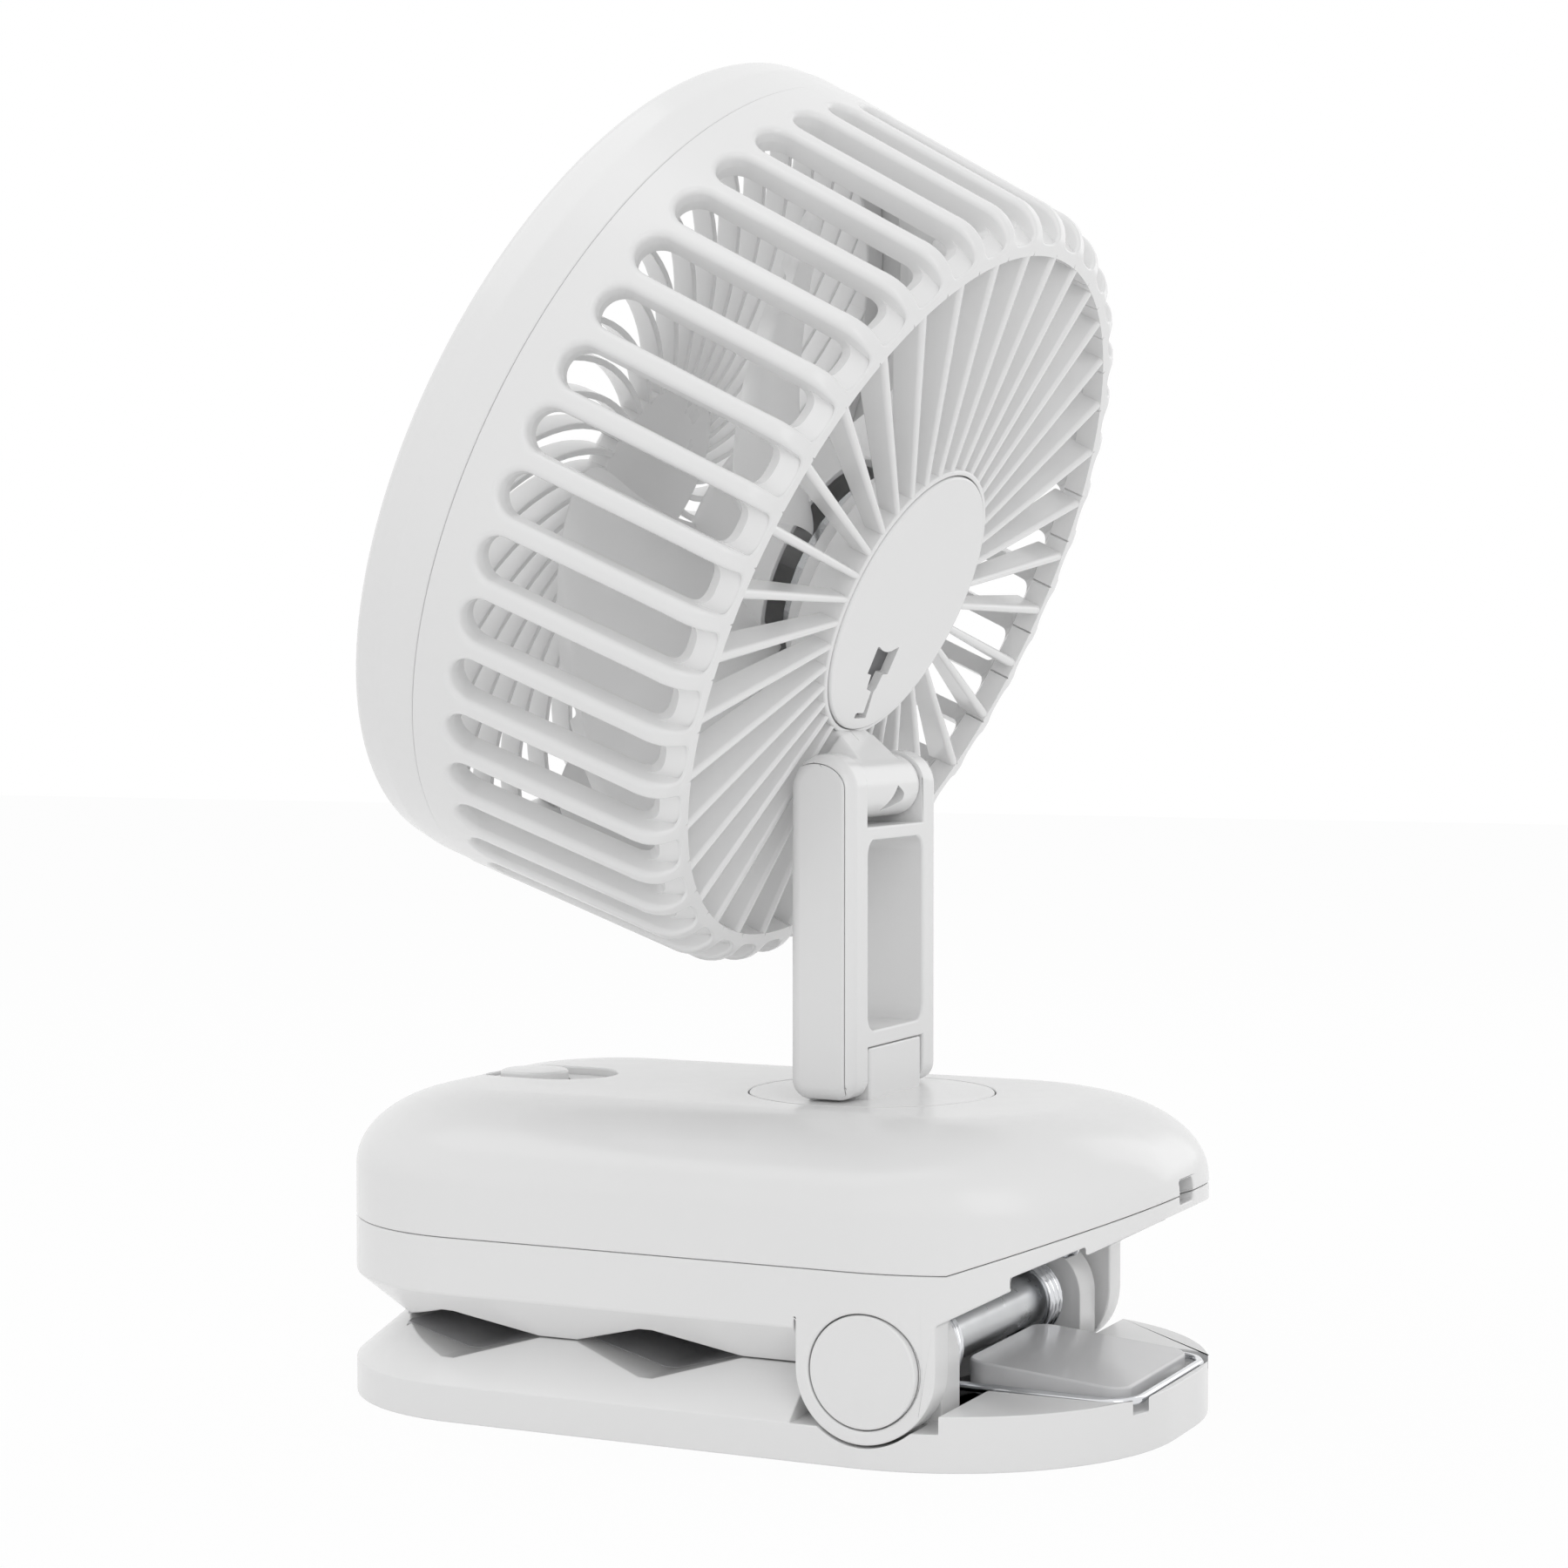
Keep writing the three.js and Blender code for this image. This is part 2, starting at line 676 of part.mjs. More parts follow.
function footOutline(margin) {
  const centreY = (baseRear - baseFront) / 2;
  const halfLength = footLength / 2 - margin;
  const halfWidth = footHalfWidth - margin;
  return roundedRect(-halfWidth, centreY - halfLength, halfWidth, centreY + halfLength, footCorner - margin);
}
function footPad() {
  return prismZ(footOutline(gap), 0, footSink - gap);
}

function tailPad() {
  const outline = roundedRect(-padHalfWidth, hingeY + lugRadius, padHalfWidth, padRear, padCorner);
  return prismZ(outline, pocketFloor + gap, padTop);
}

function hingeCap() {
  const face = baseHalfWidth - gap / 2;
  const disc = cylinderX(capRadius, baseHalfWidth - capThickness, face, hingeY, hingeZ, discSteps);
  return disc.intersect(outlineBody([[0, gap / 2], [high, gap / 2]]));
}
function hingeAxle() {
  const end = baseHalfWidth - capThickness - gap;
  return cylinderX(axleRadius, -end, end, hingeY, hingeZ);
}
function hingeBarrel() {
  const half = lugInner - gap;
  const tube = cylinderX(barrelRadius, -half, half, hingeY, hingeZ, discSteps / 2);
  return tube.subtract(cylinderX(axleRadius + boreGap, -half - over, half + over, hingeY, hingeZ));
}

// ---------------------------------------------------------------- clamp spring
// one half of the wire: upper leg with its upturned end, coil, lower leg up to the bail's corner
function springHalf() {
  const outer = coilInner + coilPitch * (coilTurns + 0.5);
  const legEnd = hingeY + springLegReach;
  const roof = pocketRoof - gap;
  const points = [
    new THREE.Vector3(outer, legEnd, roof),
    new THREE.Vector3(outer, legEnd, roof - 2 * wireRadius),
    new THREE.Vector3(outer, legEnd - wireRadius, roof - 2.8 * wireRadius),
  ];
  const count = (coilTurns + 0.5) * coilSteps;
  for (let i = 0; i <= count; i++) {
    const angle = Math.PI / 2 + (i / coilSteps) * 2 * Math.PI;
    const y = hingeY + coilRadius * Math.cos(angle);
    const z = hingeZ + coilRadius * Math.sin(angle);
    points.push(new THREE.Vector3(outer - coilPitch * (i / coilSteps), y, z));
  }
  for (const [u, v] of arc(coilInner - bailCorner, bailY - bailCorner, bailCorner, 0, 90, 4)) {
    points.push(new THREE.Vector3(u, v, bailHeight));
  }
  return points;
}

function clampSpring() {
  const half = springHalf();
  const other = half.map((point) => new THREE.Vector3(-point.x, point.y, point.z)).reverse();
  const route = [...half, ...other];
  console.log(`clamp spring: least gap to itself ${leastGap(route, wireRadius).toFixed(2)} mm`);
  return sweep(route, wireRadius, 5);
}

// least clear distance between stretches of a tube that are more than one curl's quarter apart
function leastGap(route, radius) {
  let least = Infinity;
  const apart = Math.PI * coilRadius / 2;
  const fine = new THREE.CatmullRomCurve3(route, false, 'centripetal', 0).getSpacedPoints(route.length * 6);
  const pitch = fine[0].distanceTo(fine[1]);
  const skip = Math.ceil(apart / pitch);
  for (let i = 0; i < fine.length; i++) {
    for (let j = i + skip; j < fine.length; j++) {
      least = Math.min(least, fine[i].distanceTo(fine[j]) - 2 * radius);
    }
  }
  return least;
}

// tube of a few sides through every point of a route, carried along without twist
function sweep(route, radius, sides) {
  const rings = [];
  let across = new THREE.Vector3(1, 0, 0);
  for (let i = 0; i < route.length; i++) {
    const before = route[Math.max(0, i - 1)];
    const after = route[Math.min(route.length - 1, i + 1)];
    const along = after.clone().sub(before).normalize();
    across = across.clone().addScaledVector(along, -across.dot(along)).normalize();
    const third = along.clone().cross(across);
    const ring = [];
    for (let side = 0; side < sides; side++) {
      const angle = (side / sides) * 2 * Math.PI;
      ring.push(route[i].clone()
        .addScaledVector(across, radius * Math.cos(angle))
        .addScaledVector(third, radius * Math.sin(angle)));
    }
    rings.push(ring);
  }
  return loft(rings);
}

// ---------------------------------------------------------------- inside the base
function batteryCell(side) {
  const geometry = new THREE.CylinderGeometry(cellRadius, cellRadius, cellLength, 24);
  const x = side * cellSpacing / 2;
  return solid(geometry.translate(x, cellFront + cellLength / 2, cellFloor + cellRadius));
}
function circuitBoard() {
  const face = baseTop - shellWall - boardDrop;
  return box(-boardHalfWidth, boardHalfWidth, boardFront, boardFront + boardLength,
    face - boardThickness, face);
}
function chargingPort() {
  const half = portHalfWidth - gap;
  const tall = portHalfHeight - gap;
  const rear = baseRear - portSetBack;
  const outer = roundedRect(-half, portZ - tall, half, portZ + tall, tall - gap);
  const wall = portShellWall;
  const inner = roundedRect(-half + wall, portZ - tall + wall, half - wall, portZ + tall - wall,
    tall - gap - wall);
  const tongue = box(-half * 0.7, half * 0.7, rear - portLength + over, rear - over,
    portZ - wall, portZ + wall);
  const shell = prismY(outer, rear - portLength, rear);
  return shell.subtract(prismY(inner, rear - portLength + over, rear + over)).add(
    tongue.add(box(-half * 0.7, half * 0.7, rear - portLength + over / 2, rear - portLength + 2 * over,
      portZ - wall, portZ + wall)));
}

function buttonTray() {
  const plate = traySlot(trayRadius - gap, trayTop - trayThickness, trayTop);
  return plate.subtract(cylinderZ(buttonRadius + gap, 0, high, 0, buttonY, discSteps / 2));
}
function powerButton() {
  const boardFace = baseTop - shellWall - boardDrop;
  const flangeTop = trayTop - trayThickness - gap;
  const profile = [
    [0, boardFace + gap + buttonTravel], [2.2, boardFace + gap + buttonTravel],
    [2.2, flangeTop - over], [buttonRadius + 1.2, flangeTop - over], [buttonRadius + 1.2, flangeTop],
    [buttonRadius, flangeTop], [buttonRadius, buttonTop - 0.8], [buttonRadius - 0.8, buttonTop - 0.2],
    [buttonRadius / 2, buttonTop], [0, buttonTop],
  ];
  return solid(new THREE.LatheGeometry(profile.map(([r, z]) => new THREE.Vector2(r, z)), discSteps / 2)
    .rotateX(Math.PI / 2).translate(0, buttonY, 0));
}

// ---------------------------------------------------------------- turntable
const foldY = armY - armHalfDepth + legCorner;
const foldZ = baseTop + armLift + legCorner;

function turntable() {
  const foot = baseTop - shellBossDepth + gap;
  const ledge = baseTop - tableFlange;
  const disc = turnedZ([
    [wireHoleRadius, foot], [tableNeckRadius, foot], [tableNeckRadius, ledge], [tableRadius, ledge],
    [tableRadius, baseTop], [0, baseTop], [0, baseTop - tableFlange], [wireHoleRadius, baseTop - tableFlange],
  ], discSteps);
  const front = foldY - legCorner + gap;
  const top = baseTop + bracketHeight;
  const tab = [[front, baseTop - over], [bracketBack, baseTop - over], [bracketBack, top], [foldY, top],
    ...arc(foldY, foldZ, legCorner - gap, 90, 180, 5)];
  const bracket = prismX(tab, -bracketHalfWidth, bracketHalfWidth);
  return union(disc, bracket).subtract(
    cylinderX(foldPinRadius + boreGap, -wide, wide, foldY, foldZ));
}
function turntableRetainer() {
  const top = baseTop - shellBossDepth - gap;
  return turnedZ([
    [wireHoleRadius, top - retainerThickness], [tableRadius, top - retainerThickness],
    [tableRadius, top], [wireHoleRadius, top],
  ], discSteps / 2);
}

// ---------------------------------------------------------------- arm
// side profile of the arm: square feet with rounded corners, round top about the tilt axis
function armProfile(inset) {
  const foot = baseTop + armLift + inset;
  const front = armY - armHalfDepth + inset;
  const rear = armY + armHalfDepth - inset;
  const corner = legCorner - inset;
  return [
    ...arc(armY, tiltZ, armHalfDepth - inset, 0, 180, 12),
    ...arc(front + corner, foot + corner, corner, 180, 270, 3),
    ...arc(rear - corner, foot + corner, corner, 270, 360, 3),
  ];
}

function armFrame() {
  let body = prismX(armProfile(armEdge), -armHalfWidth, armHalfWidth, armEdge);
  const front = armY - armHalfDepth - over;
  const rear = armY + armHalfDepth + over;
  const top = tiltZ + armHalfDepth + over;
  const window = roundedRect(-forkHalfWidth + gap, windowFoot, forkHalfWidth - gap, windowHead, windowCorner);
  body = body.subtract(prismY(window, front, rear));
  body = body.subtract(box(-forkHalfWidth, forkHalfWidth, front, rear, windowHead + yokeBar, top));
  body = body.subtract(box(-forkHalfWidth + gap, forkHalfWidth - gap, front, rear, baseTop,
    windowFoot - crossbar));
  for (const side of [-1, 1]) {
    const seat = [side * (armHalfWidth - coverThickness), side * (armHalfWidth + over)].sort((p, q) => p - q);
    body = body.subtract(prismX(armProfile(coverInset), seat[0], seat[1]));
  }
  const reach = pinReach + boreGap;
  body = body.subtract(cylinderX(tiltPinRadius + boreGap, -reach, reach, armY, tiltZ));
  return body.subtract(cylinderX(foldPinRadius + boreGap, -reach, reach, foldY, foldZ));
}
function armCover(side) {
  const edge = 0.5;
  const seat = armHalfWidth - coverThickness + gap;
  const face = armHalfWidth + coverProud;
  const plate = prismX(armProfile(coverInset + gap + edge), seat - edge, face, edge, 1);
  const cover = plate.intersect(box(seat, wide, -wide, wide, 0, 2 * tiltZ));
  return side > 0 ? cover : mirrored(cover);
}
function foldPin() {
  return cylinderX(foldPinRadius, -pinReach, pinReach, foldY, foldZ);
}
function tiltPin() {
  return cylinderX(tiltPinRadius, -pinReach, pinReach, armY, tiltZ);
}
const knuckleHalf = forkHalfWidth - washerThickness - 2 * gap;
function tiltWasher(side) {
  const near = knuckleHalf + gap;
  const x0 = side > 0 ? near : -near - washerThickness;
  const disc = cylinderX(knuckleRadius - gap, x0, x0 + washerThickness, armY, tiltZ);
  const bore = tiltPinRadius + boreGap;
  return disc.subtract(cylinderX(bore, x0 - over, x0 + washerThickness + over, armY, tiltZ));
}

// ---------------------------------------------------------------- head: cage
// copies of a body evenly round the fan's axis, the first one "offset" of a pitch past the top
function aroundFanAll(body, count, offset = 0) {
  const upright = body.translate([0, 0, -headRise]);
  const turn = 360 / count;
  const copies = Array.from({ length: count }, (_, i) => upright.rotate([0, (i + offset) * turn, 0]));
  return union(...copies).translate([0, 0, headRise]);
}

function cageDrum() {
  const front = seamDepth - gap;
  const lipRadius = ringRadius - ringWall - gap;
  const shoulder = [0, 30, 60, 90].map((degrees) => [
    cageBackRadius + shoulderWidth * Math.sin(toRadians(degrees)),
    shoulderDepth * (1 - Math.cos(toRadians(degrees))),
  ]);
  return turnedFan([
    [rimInner, 0], ...shoulder, [cageRadius, front], [lipRadius, front],
    [lipRadius, front + cageLip], [lipRadius - cageLipWall, front + cageLip],
    [cageShoulder - cageWall, slotBack - over], [rimInner, rimDepth],
  ], drumSteps, Math.PI / slotCount);
}

// one slot: a stadium through the drum
function cageSlot() {
  const outer = cageRadius + over;
  const inner = rimInner;
  const half = slotWidth / 2;
  const hole = stadium(fanY(slotFront), fanY(slotBack), half, 5);
  return prismZ(hole, headRise + inner, headRise + outer);
}
// the recess that carries a slot on over the shoulder to the rim; its floor is straight
function cageRecess() {
  const out = headRise + cageRadius + over;
  const floorAt = (depth) => headRise + cageBackRadius + depth * recessSlope;
  const depth = slotBack + slotWidth / 2;
  const side = [
    [fanY(-over), out], [fanY(-over), floorAt(-over)], [fanY(depth), floorAt(depth)], [fanY(depth), out],
  ];
  return prismX(side, -recessWidth / 2, recessWidth / 2);
}

function cageSpokes() {
  const spoke = box(-spokeWidth / 2, spokeWidth / 2, fanY(spokeDepth), fanY(spokeTop),
    headRise + hubRadius - over, headRise + rimInner + over / 2);
  return aroundFanAll(spoke, slotCount, 0.5);
}

function motorMount() {
  const floor = capDiscThickness + gap;
  const base = floor + motorWall;
  const bore = bearingRadius + gap;
  const cup = turnedFan([
    [capDiscRadius + gap, 0], [hubRadius, 0], [hubRadius, hubDepth], [motorCupRadius, hubDepth],
    [motorCupRadius, motorCupDepth], [motorCupRadius - motorWall, motorCupDepth],
    [motorCupRadius - motorWall, base], [postRadius - over, base], [postRadius - over, floor],
    [capDiscRadius + gap, floor],
  ], discSteps);
  const post = turnedFan([[bore, floor], [postRadius, floor], [postRadius, motorCupDepth - over],
    [bore, motorCupDepth - over]], pinSteps);
  return union(cup, post);
}

// the neck that reaches back from the hub to the tilt axis, and the knuckle on that axis
function neck() {
  const hubLow = headRise - capDiscRadius;
  const side = [
    [fanY(hubDepth), hubLow - gap], [fanY(0), hubLow - gap], [knuckleRadius * 0.45, knuckleRadius * 0.88],
    [0, -knuckleRadius * 0.4], [-knuckleRadius * 0.9, -knuckleRadius * 0.2],
    [fanY(0), -knuckleRadius * 0.2], [fanY(hubDepth), knuckleRadius],
  ];
  const tongue = prismX(side, -neckHalfWidth, neckHalfWidth);
  const knuckle = cylinderX(knuckleRadius, -knuckleHalf, knuckleHalf, 0, 0, 32);
  const flare = [[-knuckleHalf, 0], [knuckleHalf, 0], [neckHalfWidth, hubLow], [-neckHalfWidth, hubLow]];
  const fillet = prismY(flare, -knuckleRadius, knuckleRadius * 0.2);
  const skin = prismX(side, -wide, wide);
  const port = [[-0.37, 0.47], [-0.96, 0.2], [-0.91, -0.06], [0.43, -0.44]];
  const wires = prismY(port.map(([x, z]) => [x * knuckleRadius, z * knuckleRadius]), 0, knuckleRadius + over);
  return union(tongue, knuckle, fillet.intersect(skin)).subtract(wires);
}

function rearCage() {
  const drum = cageDrum().subtract(aroundFanAll(union(cageSlot(), cageRecess()), slotCount));
  const body = union(drum, cageSpokes(), motorMount(), neck());
  const mouth = cylinderFan(capDiscRadius + gap, -over, capDiscThickness + gap, discSteps);
  const pin = cylinderX(tiltPinRadius + boreGap, -wide, wide, 0, 0);
  return body.subtract(mouth).subtract(pin);
}
function cylinderFan(radius, from, to, steps = pinSteps) {
  return turnedFan([[0, from], [radius, from], [radius, to], [0, to]], steps);
}

function rearCap() {
  const disc = turnedFan([[0, -0.5], [capDiscRadius - 0.7, -0.5], [capDiscRadius, 0.2],
    [capDiscRadius, capDiscThickness], [0, capDiscThickness]], discSteps);
  return disc.subtract(cableCut());
}
// stepped window in the cap disc, with a slit down to a notch near the disc's edge
function cableCut() {
  const stepLeft = cutStep - cutLeft;
  const stepRight = cutRight - cutStep;
  const notchFoot = notchMargin - capDiscRadius;
  const slitFoot = notchFoot + notchHeight;
  const stepFoot = slitFoot + slitHeight;
  const paneFoot = stepFoot + stepHeight;
  const top = paneFoot + paneHeight;
  const outline = [
    [cutRight, top], [cutRight, paneFoot], [stepRight, paneFoot], [stepRight, stepFoot],
    [stepLeft + slitWidth, stepFoot], [stepLeft + slitWidth, slitFoot], [notchHalfWidth, slitFoot],
    [notchHalfWidth, notchFoot], [-notchHalfWidth, notchFoot], [-notchHalfWidth, slitFoot],
    [stepLeft, slitFoot], [stepLeft, paneFoot], [-cutLeft, paneFoot], [-cutLeft, top],
  ];
  return prismY(outline.map(([x, up]) => [x, headRise + up]), fanY(capDiscThickness + over), fanY(-over));
}

// ---------------------------------------------------------------- head: motor
function motorStator() {
  const from = canStart + gap;
  return turnedFan([[postRadius + boreGap, from], [statorRadius, from], [statorRadius, from + statorDepth],
    [postRadius + boreGap, from + statorDepth]], pinSteps);
}
function bearing(from) {
  return turnedFan([[shaftRadius + boreGap, from], [bearingRadius, from],
    [bearingRadius, from + bearingLength], [shaftRadius + boreGap, from + bearingLength]], pinSteps);
}
function rotorCan() {
  return turnedFan([
    [canRadius - canWall, canStart], [canRadius, canStart], [canRadius, canDepth],
    [shaftRadius + gap, canDepth],
    [shaftRadius + gap, canDepth - canWall], [canRadius - canWall, canDepth - canWall],
  ], 24);
}
function motorShaft() {
  return cylinderFan(shaftRadius, capDiscThickness + 2 * gap, impellerFront - impellerWall - gap);
}

// ---------------------------------------------------------------- head: impeller
// a wide blade with a round tip; its two faces are rows of points along arcs about the fan's axis
function blade() {
  const rows = 5;
  const columns = 4;
  const root = impellerHub - impellerWall;
  const roundFrom = bladeTip * bladeRoundFrom;
  const face = (offset) => {
    const grid = [];
    for (let row = 0; row <= rows; row++) {
      const share = row / rows;
      const radius = root + (bladeTip - root) * Math.sin(share * Math.PI / 2);
      const beyond = Math.max(0, (radius - roundFrom) / (bladeTip - roundFrom));
      const round = Math.max(Math.sqrt(Math.max(0, 1 - beyond ** 2)), bladeEndShare);
      const arc = toRadians(bladeSweep) * (bladeRootShare + (1 - bladeRootShare) * share) * round;
      const pitch = bladePitchDepth * (1 - bladeUntwist * share) * round;
      for (let column = 0; column <= columns; column++) {
        const across = column / columns - 0.5;
        const angle = across * arc + toRadians(bladeLag) * share;
        const depth = bladeMid + pitch * across + bladeCamber * (across * across - 0.25);
        grid.push(new THREE.Vector3(radius * Math.sin(angle), fanY(depth + offset),
          headRise + radius * Math.cos(angle)));
      }
    }
    return grid;
  };
  return sheet(face(-bladeThickness / 2), face(bladeThickness / 2), rows, columns);
}

// closed body between two grids of points
function sheet(lower, upper, rows, columns) {
  const stride = columns + 1;
  const shift = lower.length;
  const index = [];
  const quad = (a, b, c, d) => index.push(a, b, c, a, c, d);
  for (let row = 0; row < rows; row++) {
    for (let column = 0; column < columns; column++) {
      const a = row * stride + column;
      quad(a, a + 1, a + stride + 1, a + stride);
      quad(shift + a, shift + a + stride, shift + a + stride + 1, shift + a + 1);
    }
  }
  const edge = [];
  for (let column = 0; column < columns; column++) edge.push(column);
  for (let row = 0; row < rows; row++) edge.push(row * stride + columns);
  for (let column = columns; column > 0; column--) edge.push(rows * stride + column);
  for (let row = rows; row > 0; row--) edge.push(row * stride);
  edge.forEach((a, i) => {
    const b = edge[(i + 1) % edge.length];
    quad(a, shift + a, shift + b, b);
  });
  const geometry = new THREE.BufferGeometry().setFromPoints([...lower, ...upper]);
  geometry.setIndex(index);
  return solid(geometry);
}

function impeller() {
  const inside = impellerHub - impellerWall;
  const boss = shaftRadius + boreGap;
  let body = turnedFan([
    [inside, impellerBack], [impellerHub, impellerBack], [impellerHub, impellerFront - 4],
    [impellerHub - 3, impellerFront - 0.8], [impellerHub - 8, impellerFront], [boss, impellerFront],
    [boss, canDepth + gap], [boss + 2.6, canDepth + gap],
    [boss + 2.6, impellerFront - impellerWall], [inside, impellerFront - impellerWall - 3],
  ], 25);
  body = body.add(aroundFanAll(blade(), bladeCount));
  const hollow = turnedFan([[boss + 2.6, impellerBack - over], [inside, impellerBack - over],
    [inside, impellerFront - impellerWall - 3], [boss + 2.6, impellerFront - impellerWall]], 25);
  return body.subtract(hollow);
}
function spinnerCap() {
  const from = impellerFront + gap;
  return turnedFan([[0, from], [spinnerRadius, from], [spinnerRadius - 0.8, from + spinnerHeight * 0.6],
    [spinnerRadius * 0.5, from + spinnerHeight], [0, from + spinnerHeight]], 24);
}

// ---------------------------------------------------------------- head: front
function frontRing() {
  const inner = ringRadius - ringWall;
  const corner = [];
  for (let i = 0; i <= 2; i++) {
    const angle = (i / 2) * (Math.PI / 2);
    const radius = ringRadius - 0.5 - ringEdge * (1 - Math.cos(angle));
    corner.push([radius, ringFront - ringEdge * (1 - Math.sin(angle))]);
  }
  return turnedFan([
    [inner, seamDepth], [ringRadius - 0.7, seamDepth], ...corner, [ringLip, ringFront],
    [ringLip, grilleFront + gap], [inner, grilleFront + gap],
  ], ringSteps);
}

// a rib that winds out from the hub of the grille
function grilleRib() {
  const steps = 2;
  const rings = [];
  const from = grilleHub - over;
  const to = ringLip - grilleRimWidth + over;
  const front = grilleFront - grilleRibSink;
  for (let i = 0; i <= steps; i++) {
    const share = i / steps;
    const radius = from + (to - from) * share;
    const angle = toRadians(grilleTwist) * share ** 1.3;
    const half = grilleRibWidth / 2 / radius;
    const section = [[-half, grilleBack], [half, grilleBack], [half, front], [-half, front]];
    rings.push(section.map(([turn, depth]) => new THREE.Vector3(radius * Math.sin(angle + turn),
      fanY(depth), headRise + radius * Math.cos(angle + turn))));
  }
  return loft(rings);
}
function frontGrille() {
  const outer = ringRadius - ringWall - gap;
  let body = turnedFan([
    [ringLip - grilleRimWidth, grilleBack], [outer, grilleBack], [outer, grilleFront],
    [ringLip - grilleRimWidth, grilleFront],
  ], ringSteps);
  body = body.add(turnedFan([[0, grilleBack], [grilleHub, grilleBack], [grilleHub, grilleFront - 1],
    [grilleHub - 1.5, grilleFront], [0, grilleFront]], 24));
  return body.add(aroundFanAll(grilleRib(), grilleRibs));
}

// ---------------------------------------------------------------- assembly
const fan = new THREE.Group();
const head = new THREE.Group();
head.position.set(0, armY, tiltZ);
head.rotation.x = -toRadians(headTilt);
fan.add(head);

function place(parent, name, body, material) {
  const mesh = new THREE.Mesh(toGeometry(body), material);
  mesh.name = name;
  parent.add(mesh);
}

place(fan, 'lower_jaw', lowerJaw(), white);
place(fan, 'lower_grip_pad', gripBand(-1), rubber);
place(fan, 'tail_pad', tailPad(), milk);
place(fan, 'foot_pad', footPad(), rubber);
place(fan, 'hinge_barrel', hingeBarrel(), dark);
place(fan, 'clamp_spring', clampSpring(), steel);

place(fan, 'base_lower_shell', lowerShell(), white);
place(fan, 'base_top_shell', baseTopShell(), white);
place(fan, 'upper_grip_pad', gripBand(1), rubber);
place(fan, 'hinge_axle', hingeAxle(), steel);
place(fan, 'hinge_cap_right', hingeCap(), white);
place(fan, 'hinge_cap_left', mirrored(hingeCap()), white);
place(fan, 'battery_cell_right', batteryCell(1), blue);
place(fan, 'battery_cell_left', batteryCell(-1), blue);
place(fan, 'circuit_board', circuitBoard(), green);
place(fan, 'charging_port', chargingPort(), steel);
place(fan, 'button_tray', buttonTray(), grey);
place(fan, 'power_button', powerButton(), white);

place(fan, 'turntable', turntable(), white);
place(fan, 'turntable_retainer', turntableRetainer(), grey);
place(fan, 'fold_pin', foldPin(), steel);
place(fan, 'arm_frame', armFrame(), white);
place(fan, 'arm_cover_right', armCover(1), white);
place(fan, 'arm_cover_left', armCover(-1), white);
place(fan, 'tilt_pin', tiltPin(), steel);
place(fan, 'tilt_washer_right', tiltWasher(1), dark);
place(fan, 'tilt_washer_left', tiltWasher(-1), dark);

place(head, 'rear_cage', rearCage(), white);
place(head, 'rear_cap', rearCap(), white);
place(head, 'motor_stator', motorStator(), copper);
place(head, 'rear_bearing', bearing(capDiscThickness + 2 * gap + motorWall), steel);
place(head, 'front_bearing', bearing(motorCupDepth - over - gap - bearingLength), steel);
place(head, 'rotor_can', rotorCan(), dark);
place(head, 'motor_shaft', motorShaft(), steel);
place(head, 'impeller', impeller(), milk);
place(head, 'spinner_cap', spinnerCap(), white);
place(head, 'front_ring', frontRing(), white);
place(head, 'front_grille', frontGrille(), white);

export default fan;
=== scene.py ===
# Clip fan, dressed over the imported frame. Lengths are millimetres until a mesh is made.
import json
import math

import bmesh
import bpy
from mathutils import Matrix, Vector


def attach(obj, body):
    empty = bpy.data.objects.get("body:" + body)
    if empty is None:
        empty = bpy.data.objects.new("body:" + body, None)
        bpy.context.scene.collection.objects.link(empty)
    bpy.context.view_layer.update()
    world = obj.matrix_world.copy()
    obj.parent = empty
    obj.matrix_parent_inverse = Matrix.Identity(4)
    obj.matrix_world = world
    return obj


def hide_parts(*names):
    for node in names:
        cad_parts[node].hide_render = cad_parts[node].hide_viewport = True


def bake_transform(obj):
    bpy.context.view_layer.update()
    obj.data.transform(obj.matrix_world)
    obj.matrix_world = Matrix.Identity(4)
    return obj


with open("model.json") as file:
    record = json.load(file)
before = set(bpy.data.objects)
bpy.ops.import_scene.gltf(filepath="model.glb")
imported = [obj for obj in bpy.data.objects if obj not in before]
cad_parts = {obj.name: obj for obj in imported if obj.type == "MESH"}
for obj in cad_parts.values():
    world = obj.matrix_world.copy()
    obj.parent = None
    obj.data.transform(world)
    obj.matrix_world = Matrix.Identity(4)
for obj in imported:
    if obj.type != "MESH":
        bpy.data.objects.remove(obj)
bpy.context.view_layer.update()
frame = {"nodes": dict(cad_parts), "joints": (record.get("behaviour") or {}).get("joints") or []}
MM = 0.001
JOINTS = {joint["name"]: joint for joint in frame["joints"]}
LENS, CAMERA_PLACE, CAMERA_AIM = 74.1, (0.65965, 0.29147, 0.16148), (-0.90283, -0.42882, -0.03179)
SOFT_LIGHT, FLOOR_HALF, FLOOR_WHITE, FLOOR_GLOW = 0.76, 3, 0.95, 0.93


# ---- camera, lamps and floor
def new_object(name, data):
    obj = bpy.data.objects.new(name, data)
    bpy.context.collection.objects.link(obj)
    return obj


def placed(name, data, position, direction):
    """Adds an object that looks along a direction."""
    obj = new_object(name, data)
    obj.location = position
    obj.rotation_euler = Vector(direction).to_track_quat("-Z", "Y").to_euler()
    return obj


def make_camera():
    data = bpy.data.cameras.new("camera")
    data.sensor_width = 36
    data.lens = LENS
    bpy.context.scene.camera = placed("camera", data, CAMERA_PLACE, CAMERA_AIM)


